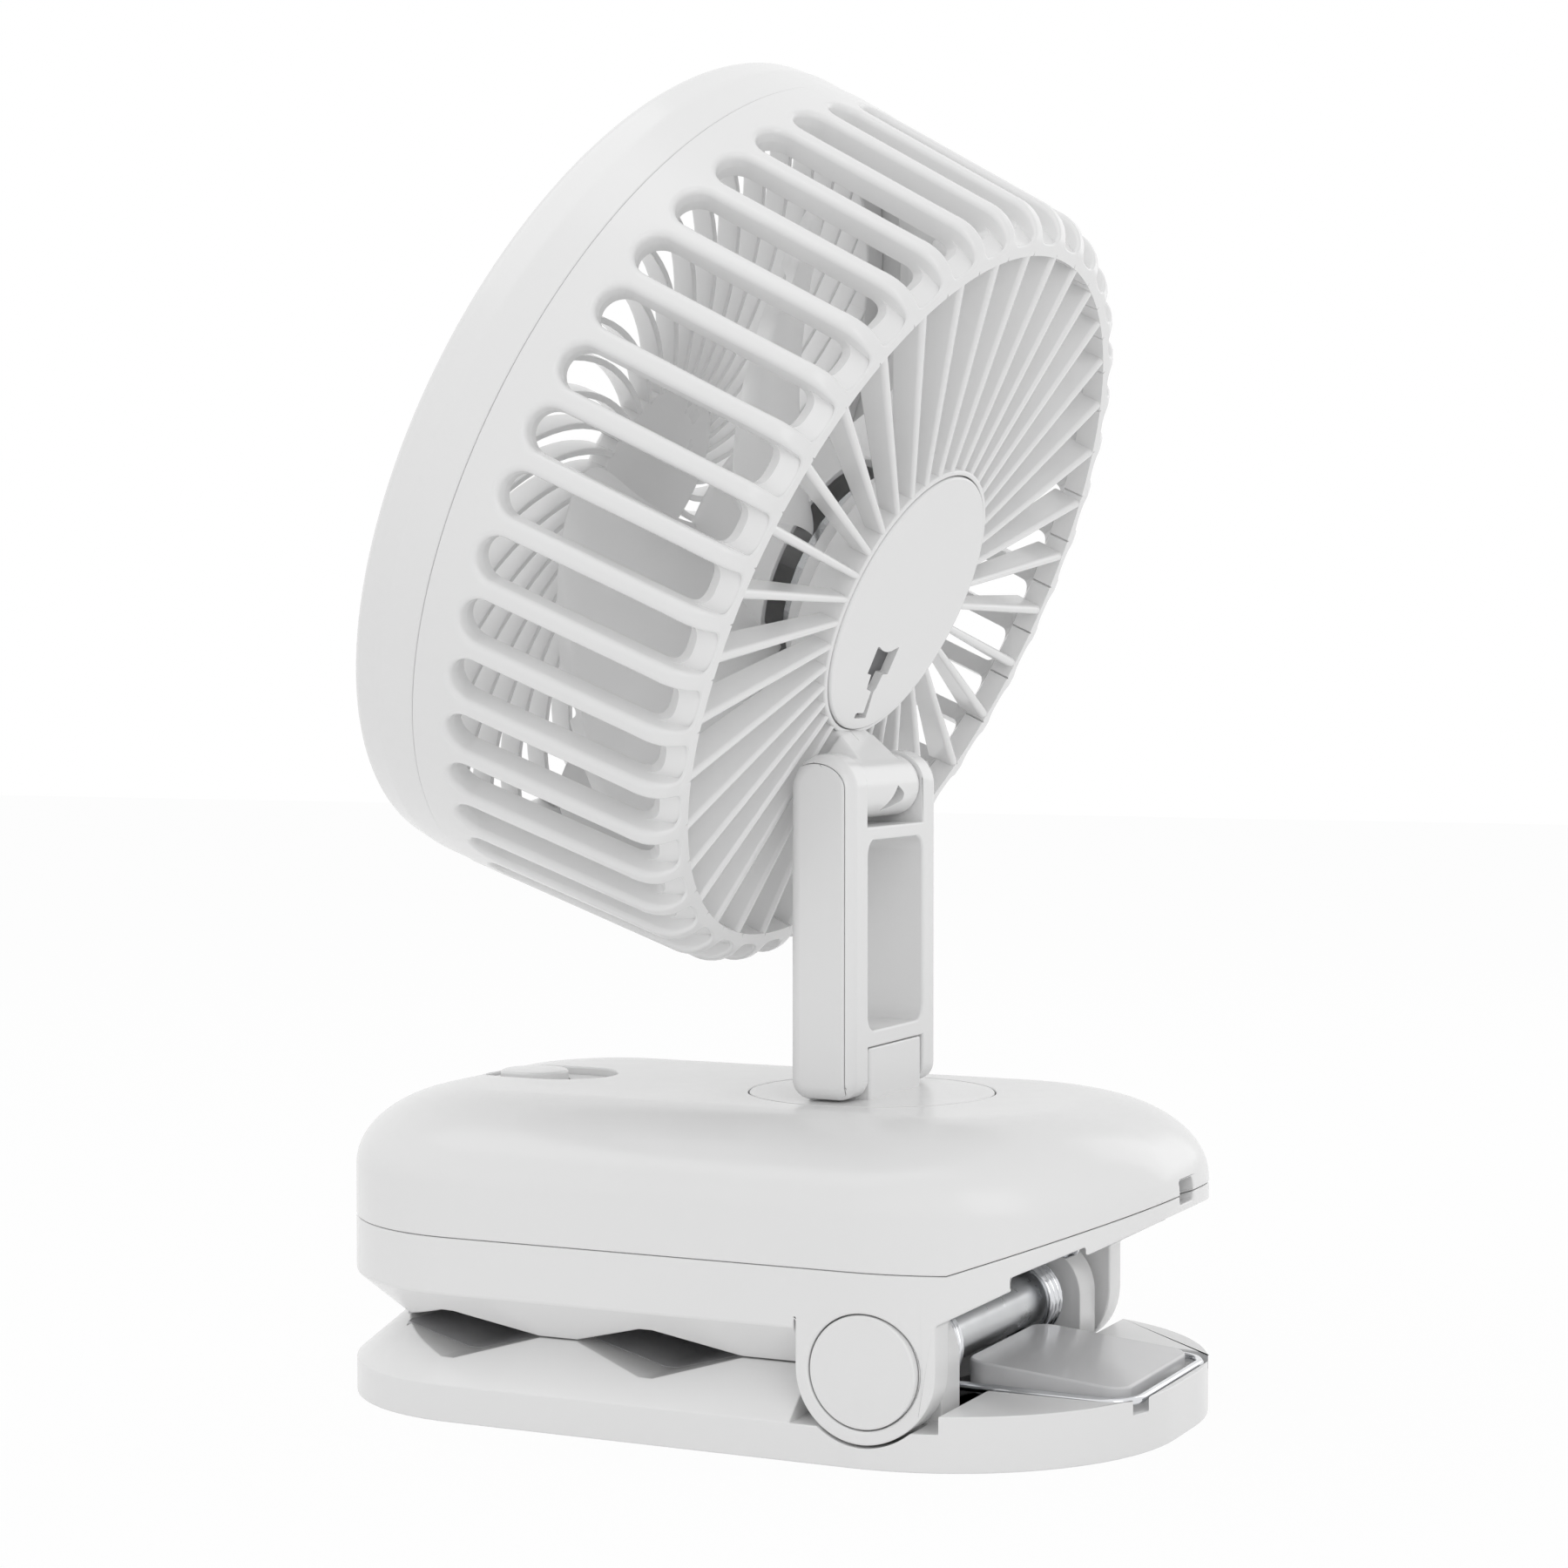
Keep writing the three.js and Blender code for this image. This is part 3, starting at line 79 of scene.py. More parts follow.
def area_lamp(name, position, target, size, power):
    data = bpy.data.lights.new(name, "AREA")
    data.shape = "RECTANGLE"
    data.size, data.size_y = size
    data.energy = power
    placed(name, data, position, Vector(target) - Vector(position))


def feed(tree, node, sockets):
    """Gives each socket a value or the output of another node."""
    for key, value in sockets.items():
        if isinstance(value, bpy.types.NodeSocket):
            tree.links.new(value, node.inputs[key])
        else:
            node.inputs[key].default_value = value
    return node


def add(tree, kind, sockets=None, **settings):
    node = tree.nodes.new("ShaderNode" + kind)
    for name, value in settings.items():
        setattr(node, name, value)
    return feed(tree, node, sockets or {})


def seen_directly(tree):
    """1 for camera, glossy and transmission rays."""
    rays = add(tree, "LightPath").outputs
    first = add(tree, "Math", {0: rays["Is Camera Ray"], 1: rays["Is Glossy Ray"]}, operation="MAXIMUM")
    sockets = {0: first.outputs[0], 1: rays["Is Transmission Ray"]}
    return add(tree, "Math", sockets, operation="MAXIMUM").outputs[0]


def mixed(tree, output, share, first, second):
    """Ends a node tree in a mix of two shaders."""
    mix = add(tree, "MixShader", {0: share, 1: first.outputs[0], 2: second.outputs[0]})
    add(tree, output, {"Surface": mix.outputs[0]})


def new_material(name):
    material = bpy.data.materials.new(name)
    material.use_nodes = True
    return material, material.node_tree


def make_world():
    world = bpy.data.worlds.new("studio")
    bpy.context.scene.world = world
    world.use_nodes = True
    tree = world.node_tree
    tree.nodes.clear()
    soft = add(tree, "Background", {"Color": (1, 1, 1, 1), "Strength": SOFT_LIGHT})
    white = add(tree, "Background", {"Color": (1, 1, 1, 1), "Strength": 1})
    mixed(tree, "OutputWorld", seen_directly(tree), soft, white)


def make_floor():
    mesh = bpy.data.meshes.new("floor")
    corners = [(x * FLOOR_HALF, y * FLOOR_HALF, 0) for x, y in ((-1, -1), (1, -1), (1, 1), (-1, 1))]
    mesh.from_pydata(corners, [], [(0, 1, 2, 3)])
    material, tree = new_material("floor")
    tree.nodes.clear()
    matte = add(tree, "BsdfDiffuse", {"Color": (FLOOR_WHITE, FLOOR_WHITE, FLOOR_WHITE, 1)})
    share = add(tree, "Math", {0: seen_directly(tree), 1: FLOOR_GLOW}, operation="MULTIPLY")
    mixed(tree, "OutputMaterial", share.outputs[0], matte, add(tree, "Emission"))
    mesh.materials.append(material)
    floor = new_object("floor", mesh)


make_camera()
make_world()
make_floor()
area_lamp("key", (0.25, -0.35, 1.1), (0, 0, 0.12), (0.9, 0.9), 2.0)
area_lamp("side", (0.75, 0.75, 0.5), (0, 0, 0.1), (0.5, 0.9), 1.4)
area_lamp("rim", (-0.9, 0.35, 0.55), (0, 0, 0.12), (0.5, 0.8), 0.8)
bpy.context.scene.view_settings.view_transform = "Standard"


# ---- materials
def noise(tree, scale, detail=2.0, stretch=None):
    """A noise value over the object's own coordinates, in metres."""
    source = add(tree, "TexCoord").outputs["Object"]
    if stretch:
        source = add(tree, "Mapping", {"Scale": stretch, "Vector": source}).outputs["Vector"]
    return add(tree, "TexNoise", {"Scale": scale, "Detail": detail, "Vector": source}).outputs["Fac"]


def spread(tree, value, low, high):
    """The middle of a noise value's range, drawn out from low to high."""
    sockets = {"From Min": 0.3, "From Max": 0.7, "To Min": low, "To Max": high, "Value": value}
    return add(tree, "MapRange", sockets).outputs["Result"]


def surface(name, color, vary, roughness, rough_vary, patch, grain, bump, depth,
            metallic=0.0, stretch=None, clear=0.0):
    """A moulded or drawn surface: its colour and polish wander a little, and its skin has a fine grain."""
    material, tree = new_material(name)
    dark, light = [(*[min(1, c * (1 + sign * vary)) for c in color], 1) for sign in (-1, 1)]
    sockets = {"A": dark, "B": light, "Factor": spread(tree, noise(tree, patch), 0, 1)}
    mix = add(tree, "Mix", sockets, data_type="RGBA")
    polish = noise(tree, patch * 2.3, 3)
    relief = add(tree, "Bump", {"Strength": bump, "Distance": depth, "Height": noise(tree, grain, 4, stretch)})
    feed(tree, tree.nodes["Principled BSDF"], {
        "Metallic": metallic, "Transmission Weight": clear, "Base Color": mix.outputs["Result"],
        "Roughness": spread(tree, polish, roughness - rough_vary, roughness + rough_vary),
        "Normal": relief.outputs["Normal"]})
    return material


WHITE = surface("gloss_white", (0.82, 0.82, 0.82), 0.006, 0.22, 0.02, 22, 140, 0.10, 0.00006)
SATIN = surface("satin_white", (0.81, 0.81, 0.81), 0.008, 0.30, 0.03, 26, 1400, 0.10, 0.00003)
MILK = surface("milk_white", (0.80, 0.80, 0.80), 0.012, 0.38, 0.03, 30, 1200, 0.2, 0.00004)
GREY = surface("grey_plastic", (0.42, 0.42, 0.43), 0.03, 0.45, 0.05, 60, 1500, 0.3, 0.00004)
CLEAR = surface("clear_pad", (0.84, 0.84, 0.85), 0.01, 0.14, 0.03, 40, 900, 0.1, 0.00003, 0.0, None, 0.22)
# painted shade: a near-black colour for the sheet that darkens the rear cap's cut-out and slit
PAINTED_SHADE_GREY = surface("painted_cutout_shade", (0.11, 0.11, 0.115), 0.05, 0.40, 0.05, 60, 1500, 0.3, 0.00004)
SLEEVING = surface("sleeve_metal", (0.62, 0.63, 0.64), 0.03, 0.30, 0.05, 90, 2400, 0.2, 0.00002, 0.9)
DARK = surface("dark_plastic", (0.035, 0.035, 0.037), 0.08, 0.42, 0.06, 60, 1600, 0.4, 0.00004)
RUBBER = surface("grip_rubber", (0.58, 0.58, 0.59), 0.05, 0.78, 0.05, 90, 2600, 0.7, 0.00006)
CHROME = surface("drawn_wire", (0.72, 0.73, 0.75), 0.03, 0.14, 0.05, 120, 2600, 0.15, 0.00002, 1.0, (1, 0.05, 0.05))
STEEL = surface("ground_steel", (0.60, 0.61, 0.62), 0.04, 0.28, 0.06, 150, 3000, 0.3, 0.00002, 1.0, (0.05, 1, 1))
PLATED = surface("plated_shell", (0.50, 0.50, 0.51), 0.04, 0.32, 0.06, 160, 3000, 0.2, 0.00002, 1.0)
COPPER = surface("wound_copper", (0.60, 0.26, 0.12), 0.12, 0.35, 0.06, 400, 2200, 1.0, 0.0002, 1.0, (1, 1, 0.1))
SLEEVE = surface("cell_sleeve", (0.045, 0.16, 0.42), 0.06, 0.30, 0.05, 50, 900, 0.2, 0.00004)
BOARD = surface("board_laminate", (0.018, 0.13, 0.06), 0.25, 0.35, 0.08, 420, 2400, 0.4, 0.00005)


# ---- flat outlines
def shares(steps, first=0):
    """Equal steps from 0 to 1."""
    return [k / steps for k in range(first, steps + 1)]


def quarter(steps, first=0):
    """The angles of a quarter turn, in equal steps."""
    return [math.pi / 2 * k / steps for k in range(first, steps + 1)]


def arc(u, v, radius, start, end, steps):
    angles = [math.radians(start + (end - start) * i / steps) for i in range(steps + 1)]
    return [(u + radius * math.cos(angle), v + radius * math.sin(angle)) for angle in angles]


def circle(u, v, radius, steps=36):
    return arc(u, v, radius, 0, 360 - 360 / steps, steps - 1)


def box(u0, v0, u1, v1):
    return [(u0, v0), (u1, v0), (u1, v1), (u0, v1)]


def corner_arcs(corners, steps):
    """Quarter arcs round four (u, v, radius) centres, from the +u +v corner on."""
    return [point for i, (u, v, radius) in enumerate(corners)
            for point in arc(u, v, radius, 90 * i, 90 * i + 90, steps)]


def round_rect(u0, v0, u1, v1, radius, steps=8):
    centres = box(u1 - radius, v1 - radius, u0 + radius, v0 + radius)
    return corner_arcs([(*centre, radius) for centre in centres], steps)


def stadium(v0, v1, radius, steps=20):
    return arc(0, v1 - radius, radius, 0, 180, steps) + arc(0, v0 + radius, radius, 180, 360, steps)


def round_corners(points, radii, steps=4):
    """A closed outline whose corners are rounded; radii is one number or one per point."""
    count = len(points)
    radii = [radii] * count if isinstance(radii, (int, float)) else radii
    out = []
    for i, (here, radius) in enumerate(zip(points, radii)):
        here = Vector(here)
        back = Vector(points[i - 1]) - here
        ahead = Vector(points[(i + 1) % count]) - here
        angle = back.angle(ahead)
        if radius <= 0 or angle > math.radians(179):
            out.append(tuple(here))
            continue
        reach = min(radius / math.tan(angle / 2), back.length * 0.49, ahead.length * 0.49)
        size = reach * math.tan(angle / 2)
        centre = here + (back.normalized() + ahead.normalized()).normalized() * (size / math.sin(angle / 2))
        first = here + back.normalized() * reach - centre
        turn = (here + ahead.normalized() * reach - centre).angle_signed(first)
        for k in range(steps + 1):
            share = turn * k / steps
            cos, sin = math.cos(share), math.sin(share)
            out.append((centre.x + first.x * cos - first.y * sin, centre.y + first.x * sin + first.y * cos))
    return out


def inset(points, distance):
    """The closed outline drawn in by a distance, or out where it is negative."""
    if abs(distance) < 1e-9:
        return list(points)

    def elsewhere(i, step):
        """The nearest point on one side that doesn't lie on this one."""
        j = i + step
        while (Vector(points[j % count]) - Vector(points[i])).length < 1e-6:
            j += step
        return Vector(points[j % count])

    area = sum(p[0] * q[1] - q[0] * p[1] for p, q in zip(points, points[1:] + points[:1]))
    sign, count, out = 1 if area > 0 else -1, len(points), []
    for i, here in enumerate(points):
        here = Vector(here)
        first, second = (here - elsewhere(i, -1)).normalized(), (elsewhere(i, 1) - here).normalized()
        normal = Vector((-first.y - second.y, first.x + second.x)) * sign
        normal.normalize()
        cosine = max(0.35, normal.dot(Vector((-first.y, first.x)) * sign))
        out.append(tuple(here + normal * (distance / cosine)))
    return out


# ---- solids
def along_x(u, v, w):
    return (w, u, v)


def along_y(u, v, w):
    return (u, w, v)


def along_z(u, v, w):
    return (u, v, w)


def mesh_object(name, verts, faces):
    mesh = bpy.data.meshes.new(name)
    mesh.from_pydata([Vector(v) * MM for v in verts], [], faces)
    obj = new_object(name, mesh)
    weld(obj)
    return obj


def weld(obj, distance=0.003, flatten=0.0):
    """Joins points that lie together, drops what has no size and turns the faces outward."""
    bm = bmesh.new()
    bm.from_mesh(obj.data)
    bmesh.ops.remove_doubles(bm, verts=bm.verts, dist=distance * MM)
    bmesh.ops.dissolve_degenerate(bm, edges=bm.edges, dist=distance * MM)
    if flatten:
        bmesh.ops.dissolve_limit(bm, angle_limit=math.radians(flatten), verts=bm.verts, edges=bm.edges)
    bmesh.ops.recalc_face_normals(bm, faces=bm.faces)
    bm.to_mesh(obj.data)
    bm.free()


def bands(base, rows, count, closed=True):
    """The faces between rows of count points each, the first point being number base."""
    faces = []
    for low in range(base, base + (rows - 1) * count, count):
        for i in range(count if closed else count - 1):
            j = (i + 1) % count
            faces.append((low + i, low + j, low + count + j, low + count + i))
    return faces


def stack(name, *solids):
    """Each solid is a skin through loops of equally many points, closed by one face at either end."""
    verts, faces = [], []
    for loops in solids:
        base, count = len(verts), len(loops[0])
        verts += [point for loop in loops for point in loop]
        faces += bands(base, len(loops), count)
        faces += [tuple(range(base + count - 1, base - 1, -1)), tuple(range(len(verts) - count, len(verts)))]
    return mesh_object(name, verts, faces)


def ends(low, high, edge_low, edge_high, steps=4):
    """Levels (place, drawn in) between two ends whose edges are rounded; a negative edge flares outward."""
    def rounded(edge):
        turns = quarter(steps) if edge else [math.pi / 2]
        return [(abs(edge) * (1 - math.cos(a)), edge * (1 - math.sin(a))) for a in turns]

    return ([(low + rise, drawn) for rise, drawn in rounded(edge_low)]
            + [(high - rise, drawn) for rise, drawn in reversed(rounded(edge_high))])


def layered(name, outline, levels, place):
    return stack(name, [[place(u, v, at) for u, v in inset(outline, drawn)] for at, drawn in levels])


def slab(name, outline, low, high, place, edge_low=0.0, edge_high=0.0):
    """An outline carried from low to high, its edges there rounded where that is asked."""
    return layered(name, outline, ends(low, high, edge_low, edge_high), place)


def cutter(outline, low, high, place):
    return slab("cutter", outline, low, high, place)


def through(outline, low, high, place, flare):
    """A cutter that runs past both faces and leaves a rounded edge at each."""
    levels = ends(low, high, -flare, -flare)
    return layered("cutter", outline, [(low - OVERRUN, -flare), *levels, (high + OVERRUN, -flare)], place)


def turned(name, profile, steps, place):
    """A closed profile of (radius, height) pairs turned about an axis."""
    verts = [place(r, h, 2 * math.pi * k / steps) for k in range(steps) for r, h in profile]
    faces = bands(0, steps + 1, len(profile))
    return mesh_object(name, verts, [tuple(v % len(verts) for v in face) for face in faces])


def about_x(y, z, side=1):
    return lambda r, h, a: (side * h, y + r * math.cos(a), z + r * math.sin(a))


def about_z(y=0.0):
    return lambda r, h, a: (r * math.cos(a), y + r * math.sin(a), h)


def applied(obj):
    """Replaces an object's mesh by what its modifiers make of it."""
    bpy.context.view_layer.update()
    graph = bpy.context.evaluated_depsgraph_get()
    old, obj.data = obj.data, bpy.data.meshes.new_from_object(obj.evaluated_get(graph))
    obj.modifiers.clear()
    bpy.data.meshes.remove(old)
    return obj


def combine(obj, tool, operation):
    modifier = obj.modifiers.new("combine", "BOOLEAN")
    modifier.operation = operation
    modifier.solver = "MANIFOLD"
    modifier.object = tool
    applied(obj)
    bpy.data.objects.remove(tool)
    return obj


def cut(obj, *tools):
    for tool in tools:
        combine(obj, tool, "DIFFERENCE")
    return obj


def keep(obj, tool):
    return combine(obj, tool, "INTERSECT")


def join(obj, *tools):
    for tool in tools:
        combine(obj, tool, "UNION")
    return obj


def soften(obj, width, angle=32, segments=3):
    """Rounds the sharp edges."""
    weld(obj, 0.02, 0.3)
    modifier = obj.modifiers.new("round", "BEVEL")
    modifier.width = width * MM
    modifier.segments = segments
    modifier.limit_method = "ANGLE"
    modifier.angle_limit = math.radians(angle)
    modifier.use_clamp_overlap = False
    modifier.miter_outer = "MITER_ARC"
    return applied(obj)


def dress(obj, body, material, slot, *nodes, sharp=38):
    """Gives a finished piece its shading, material and place in the frame."""
    obj.data.materials.clear()
    obj.data.materials.append(material)
    obj.data.shade_smooth()
    obj.data.set_sharp_from_angle(angle=math.radians(sharp))
    modifier = obj.modifiers.new("even_shading", "WEIGHTED_NORMAL")
    modifier.keep_sharp = True
    modifier.weight = 60
    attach(obj, body)
    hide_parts(*nodes)


def white(obj, body, node, sharp=38):
    dress(obj, body, WHITE, "white", node, sharp=sharp)


# ---- sizes of the base and the arm, as in the frame's solids
GAP, OVERRUN = 0.3, 1.0
AXIS = 0.01  # radius at which a turned profile meets its axis
HALF_WIDTH, FRONT, REAR = 59.8, 117.5, 73.9
FRONT_CORNER, REAR_CORNER = 43.0, 53.0
TOP, WALL_TOP, CROWN = 69.7, 52.0, 28.0
SEAM, SEAM_KINK, SEAM_RISE = 40.4, 41.0, 11.4
WALL, SHELL_GAP = 2.4, 0.12
MEET, TOOTH_DEPTH, TOOTH_HALF, TOOTH_FLAT, TOOTH_PITCH, FIRST_TOOTH = 18.0, 5.0, 20.0, 1.6, 49.4, -78.4
CHAMFER_INSET, CHAMFER_RISE = 11.8, 10.0
GRIP, GRIP_HALF, GRIP_END = 1.4, 41.5, 2.4
PLATE, TAIL = 8.0, 11.7
POCKET_HALF, POCKET_FLOOR, POCKET_RIM, POCKET_CORNER = 29.0, 8.6, 1.7, 9.0
PAD_HALF, PAD_REAR, PAD_LOW, PAD_HIGH, PAD_CORNER = 22.4, 67.6, 13.0, 16.6, 5
FOOT_HALF, FOOT_REACH, FOOT_CORNER, FOOT_SHEET = 35, 60, 16, 0.6
HINGE_Y, HINGE_Z, EAR, EAR_THICK, CAP, CAP_THICK = 24.0, 19.9, 15.0, 10.8, 11.8, 2.2
AXLE, LUG, LUG_IN, LUG_OUT, BARREL = 3.0, 12.3, 36.4, 46.4, 6.4
COIL_RADIUS, COIL_PITCH, COIL_INNER, COIL_TURNS, WIRE = 8.5, 2.55, 25.5, 3.5, 1.0
BAIL_REAR, BAIL_BEND, BAIL_Z = 70.4, 7, 10.9
ROOF, SKIRT, SKIRT_KINK, SKIRT_RISE, BULKHEAD = 33.6, 29.8, 38.5, 18.6, 8.6
TABLE, TABLE_NECK, TABLE_FLANGE, TABLE_DEEP = 27.5, 23.6, 2.4, 5.2
TAB_HALF, TAB_REAR, TAB_HIGH = 14.3, 5.8, 81.0
ARM_Y, ARM_DEPTH, ARM_WIDTH, ARM_LIFT, FORK = -1.8, 7.7, 23.9, 0.4, 15.6
TILT_Z, ARM_EDGE, LEG_CORNER, CROSSBAR, YOKE_BAR = 138.0, 3.0, 4.3, 3.6, 3.0
WINDOW_FOOT, WINDOW_HEAD, WINDOW_CORNER = 84.8, 126.6, 3.6
COVER_INSET, COVER_THICK, COVER_FOOT, COVER_MIDDLE, SEAM_GAP = 2.0, 1.3, 65.7, ARM_Y - 1.5, 0.12
FOLD_PIN, TILT_PIN, PIN_HALF = 1.9, 2.5, 19.8
FOLD_Y, FOLD_Z = ARM_Y - ARM_DEPTH + LEG_CORNER, TOP + ARM_LIFT + LEG_CORNER
BUTTON_Y, BUTTON, BUTTON_EDGE, BUTTON_FLANGE, TRAY, TRAY_LENGTH = -86.9, 8.0, 69.5, 9.2, 12.0, 8.6
TRAY_TOP, TRAY_FOOT = 67.9, 66.1
PORT_HALF, PORT_TALL, PORT_Z, PORT_BACK, PORT_LENGTH, PORT_CORNER = 4.6, 2.5, 52.3, 4.1, 7.4, 0.9
# just beyond the base on every side, for cutters and limits
WIDE, FAR_FRONT, FAR_REAR, HIGH = 61.0, -119.0, 75.2, 71.0


# ---- base outline
def outline_ring(drawn, z, steps=22):
    rear, front = REAR_CORNER - drawn, FRONT_CORNER - drawn
    wide, back = HALF_WIDTH - REAR_CORNER, REAR - REAR_CORNER
    narrow, near = HALF_WIDTH - FRONT_CORNER, FRONT_CORNER - FRONT
    corners = ((wide, back, rear), (-wide, back, rear), (-narrow, near, front), (narrow, near, front))
    return [(u, v, z) for u, v in corner_arcs(corners, steps)]


def outline_body(levels, name="block"):
    return stack(name, [outline_ring(drawn, z) for z, drawn in levels])


def in_outline(obj):
    return keep(obj, outline_body([(0, 0), (HIGH, 0)]))


def dome(name, foot, wall, steps=18):
    rise = TOP - WALL_TOP - wall
    return outline_body([(foot, wall)] + [
        (WALL_TOP + rise * math.sin(angle), wall + (CROWN - wall) * (1 - math.cos(angle)))
        for angle in quarter(steps)], name)


def block(x0, x1, y0, y1, z0, z1):
    return slab("block", box(x0, y0, x1, y1), z0, z1, along_z)


def seam_at(y):
    return SEAM + max(0.0, y - SEAM_KINK) * SEAM_RISE / (REAR - SEAM_KINK)


def skirt_at(y):
    return SKIRT + max(0.0, y - SKIRT_KINK) * SKIRT_RISE / (REAR - SKIRT_KINK)


def seam_side(lift, above):
    """Side outline of everything above or below the shells' seam."""
    line = [(FAR_FRONT, SEAM + lift), (SEAM_KINK, SEAM + lift), (FAR_REAR, seam_at(FAR_REAR) + lift)]
    level = HIGH + 5 if above else -1
    return line + [(FAR_REAR, level), (FAR_FRONT, level)]


def above_seam(obj):
    return keep(obj, side_prism(seam_side(SHELL_GAP / 2, True), WIDE + 1))


def wave(z, direction, start, end):
    """The jaws' mating line with its two teeth."""
    points, bite = [(start, z)], z + direction * TOOTH_DEPTH
    for centre in (FIRST_TOOTH, FIRST_TOOTH + TOOTH_PITCH):
        points += [(centre - TOOTH_HALF, z), (centre - TOOTH_FLAT, bite),
                   (centre + TOOTH_FLAT, bite), (centre + TOOTH_HALF, z)]
    return points + [(end, z)]


def side_prism(points, half):
    return slab("side", points, -half, half, along_x)


def tray_outline(margin):
    return stadium(BUTTON_Y - TRAY + margin, BUTTON_Y + TRAY_LENGTH + TRAY - margin, TRAY - margin)


def port_cutter():
    outline = round_rect(-PORT_HALF, PORT_Z - PORT_TALL, PORT_HALF, PORT_Z + PORT_TALL, PORT_CORNER)
    return cutter(outline, REAR - PORT_BACK - PORT_LENGTH - GAP, REAR + 0.5, along_y)


# ---- base shells
def inner_room():
    front, foot, roof = -FRONT + WALL, 26, ROOF + WALL
    side = [(front, foot), (BULKHEAD - WALL, foot), (BULKHEAD - WALL, roof), (SKIRT_KINK, roof),
            (FAR_REAR, skirt_at(FAR_REAR) - SKIRT + roof), (FAR_REAR, HIGH), (front, HIGH)]
    low = outline_body([(foot, CHAMFER_INSET * 2 / CHAMFER_RISE + 3), (foot + 5, WALL), (WALL_TOP, WALL)])
    return keep(join(low, dome("room", WALL_TOP - 0.5, WALL, 8)), side_prism(side, WIDE))


def base_top_shell():
    shell = above_seam(dome("base_top", SEAM - 1, 0))
    cut(shell, inner_room())
    table = slab("boss", circle(0, 0, TABLE + 3.4, 90), TOP - TABLE_DEEP, TOP - 1, along_z)
    wide = PORT_HALF + WALL
    port = block(-wide, wide, REAR - 13, REAR - 1, seam_at(REAR) - 1, PORT_Z + PORT_TALL + WALL)
    keep(above_seam(port), dome("limit", 30, 0.8, 8))
    tray = slab("boss", tray_outline(-WALL), TRAY_FOOT - GAP, TOP - 2, along_z)
    keep(tray, dome("limit", 50, 0.8, 8))
    join(shell, table, tray, port)
    cut(shell, through(circle(0, 0, TABLE + GAP, 120), TOP - TABLE_FLANGE - GAP, TOP, along_z, 0.35),
        through(tray_outline(0), TRAY_FOOT - GAP, TOP, along_z, 0.5), port_cutter())
    white(soften(shell, 0.35, 40), "base", "base_top_shell")


def ears():
    column = [(HINGE_Y + EAR, ROOF + WALL), (HINGE_Y - EAR, ROOF + WALL)]
    column += arc(HINGE_Y, HINGE_Z, EAR, 180, 360, 40)
    below = seam_side(-SHELL_GAP / 2, False)
    return [keep(in_outline(flap), side_prism(below, WIDE + 1))
            for flap in both_sides(column, HALF_WIDTH - EAR_THICK)[::-1]]


def wavy_band(direction, thickness, margin, name="band"):
    near = wave(MEET + direction * (GAP / 2 - margin * 3), direction, FAR_FRONT, BULKHEAD)
    far = wave(MEET + direction * (GAP / 2 + thickness), direction, FAR_FRONT, BULKHEAD)
    start = FIRST_TOOTH - TOOTH_HALF + GRIP_END - margin
    end = FIRST_TOOTH + TOOTH_PITCH + TOOTH_HALF - GRIP_END + margin
    band = slab(name, near + far[::-1], -GRIP_HALF - margin, GRIP_HALF + margin, along_x)
    return keep(band, block(-WIDE, WIDE, start, end, 0, HIGH))


def axle_hole():
    return cutter(circle(HINGE_Y, HINGE_Z, AXLE + GAP), -WIDE, WIDE, along_x)


def both_sides(outline, inner, outer=WIDE):
    """The same slab on the right and on the left."""
    return cutter(outline, inner, outer, along_x), cutter(outline, -outer, -inner, along_x)


def base_lower_shell():
    meet = MEET + GAP / 2
    side = seam_side(-SHELL_GAP / 2, False)[:3]
    side += [(FAR_REAR, skirt_at(FAR_REAR)), (SKIRT_KINK, SKIRT), (BULKHEAD, SKIRT)]
    shell = side_prism(side + wave(meet, 1, FAR_FRONT, BULKHEAD)[::-1], WIDE)
    shell.name = "base_lower"
    bite = outline_body([(meet, CHAMFER_INSET), (MEET + CHAMFER_RISE, 0), (HIGH, 0)])
    keep(in_outline(shell), join(bite, block(-WIDE, WIDE, BULKHEAD, FAR_REAR, 1, HIGH)))
    cut(shell, inner_room())
    join(shell, *ears())
    rear, under = REAR - 4 * WALL, SKIRT - 1
    recess = [(BULKHEAD, under), (SKIRT_KINK, under), (rear, skirt_at(rear) - 1),
              (rear, skirt_at(rear) + (ROOF - SKIRT) / 2), (SKIRT_KINK, ROOF), (BULKHEAD, ROOF)]
    seat = circle(HINGE_Y, HINGE_Z, CAP + GAP, 90)
    cut(shell, side_prism(recess, HALF_WIDTH - EAR_THICK), wavy_band(1, GRIP + GAP, GAP), axle_hole(),
        *both_sides(seat, HALF_WIDTH - CAP_THICK - GAP), port_cutter())
    white(soften(shell, 0.5, 24), "base", "base_lower_shell")


def hinge_caps():
    profile = round_corners(box(AXIS, HALF_WIDTH - CAP_THICK, CAP, HALF_WIDTH - 0.15), [0, 0, 0.5, 0])
    for side, name in ((1, "right"), (-1, "left")):
        cap = turned("cap_" + name, profile, 96, about_x(HINGE_Y, HINGE_Z, side))
        white(cap, "base", "hinge_cap_" + name)


# ---- lower jaw
def foot_outline(margin):
    half, reach, centre = FOOT_HALF - margin, FOOT_REACH - margin, (REAR - FRONT) / 2
    return round_rect(-half, centre - reach, half, centre + reach, FOOT_CORNER - margin, 10)


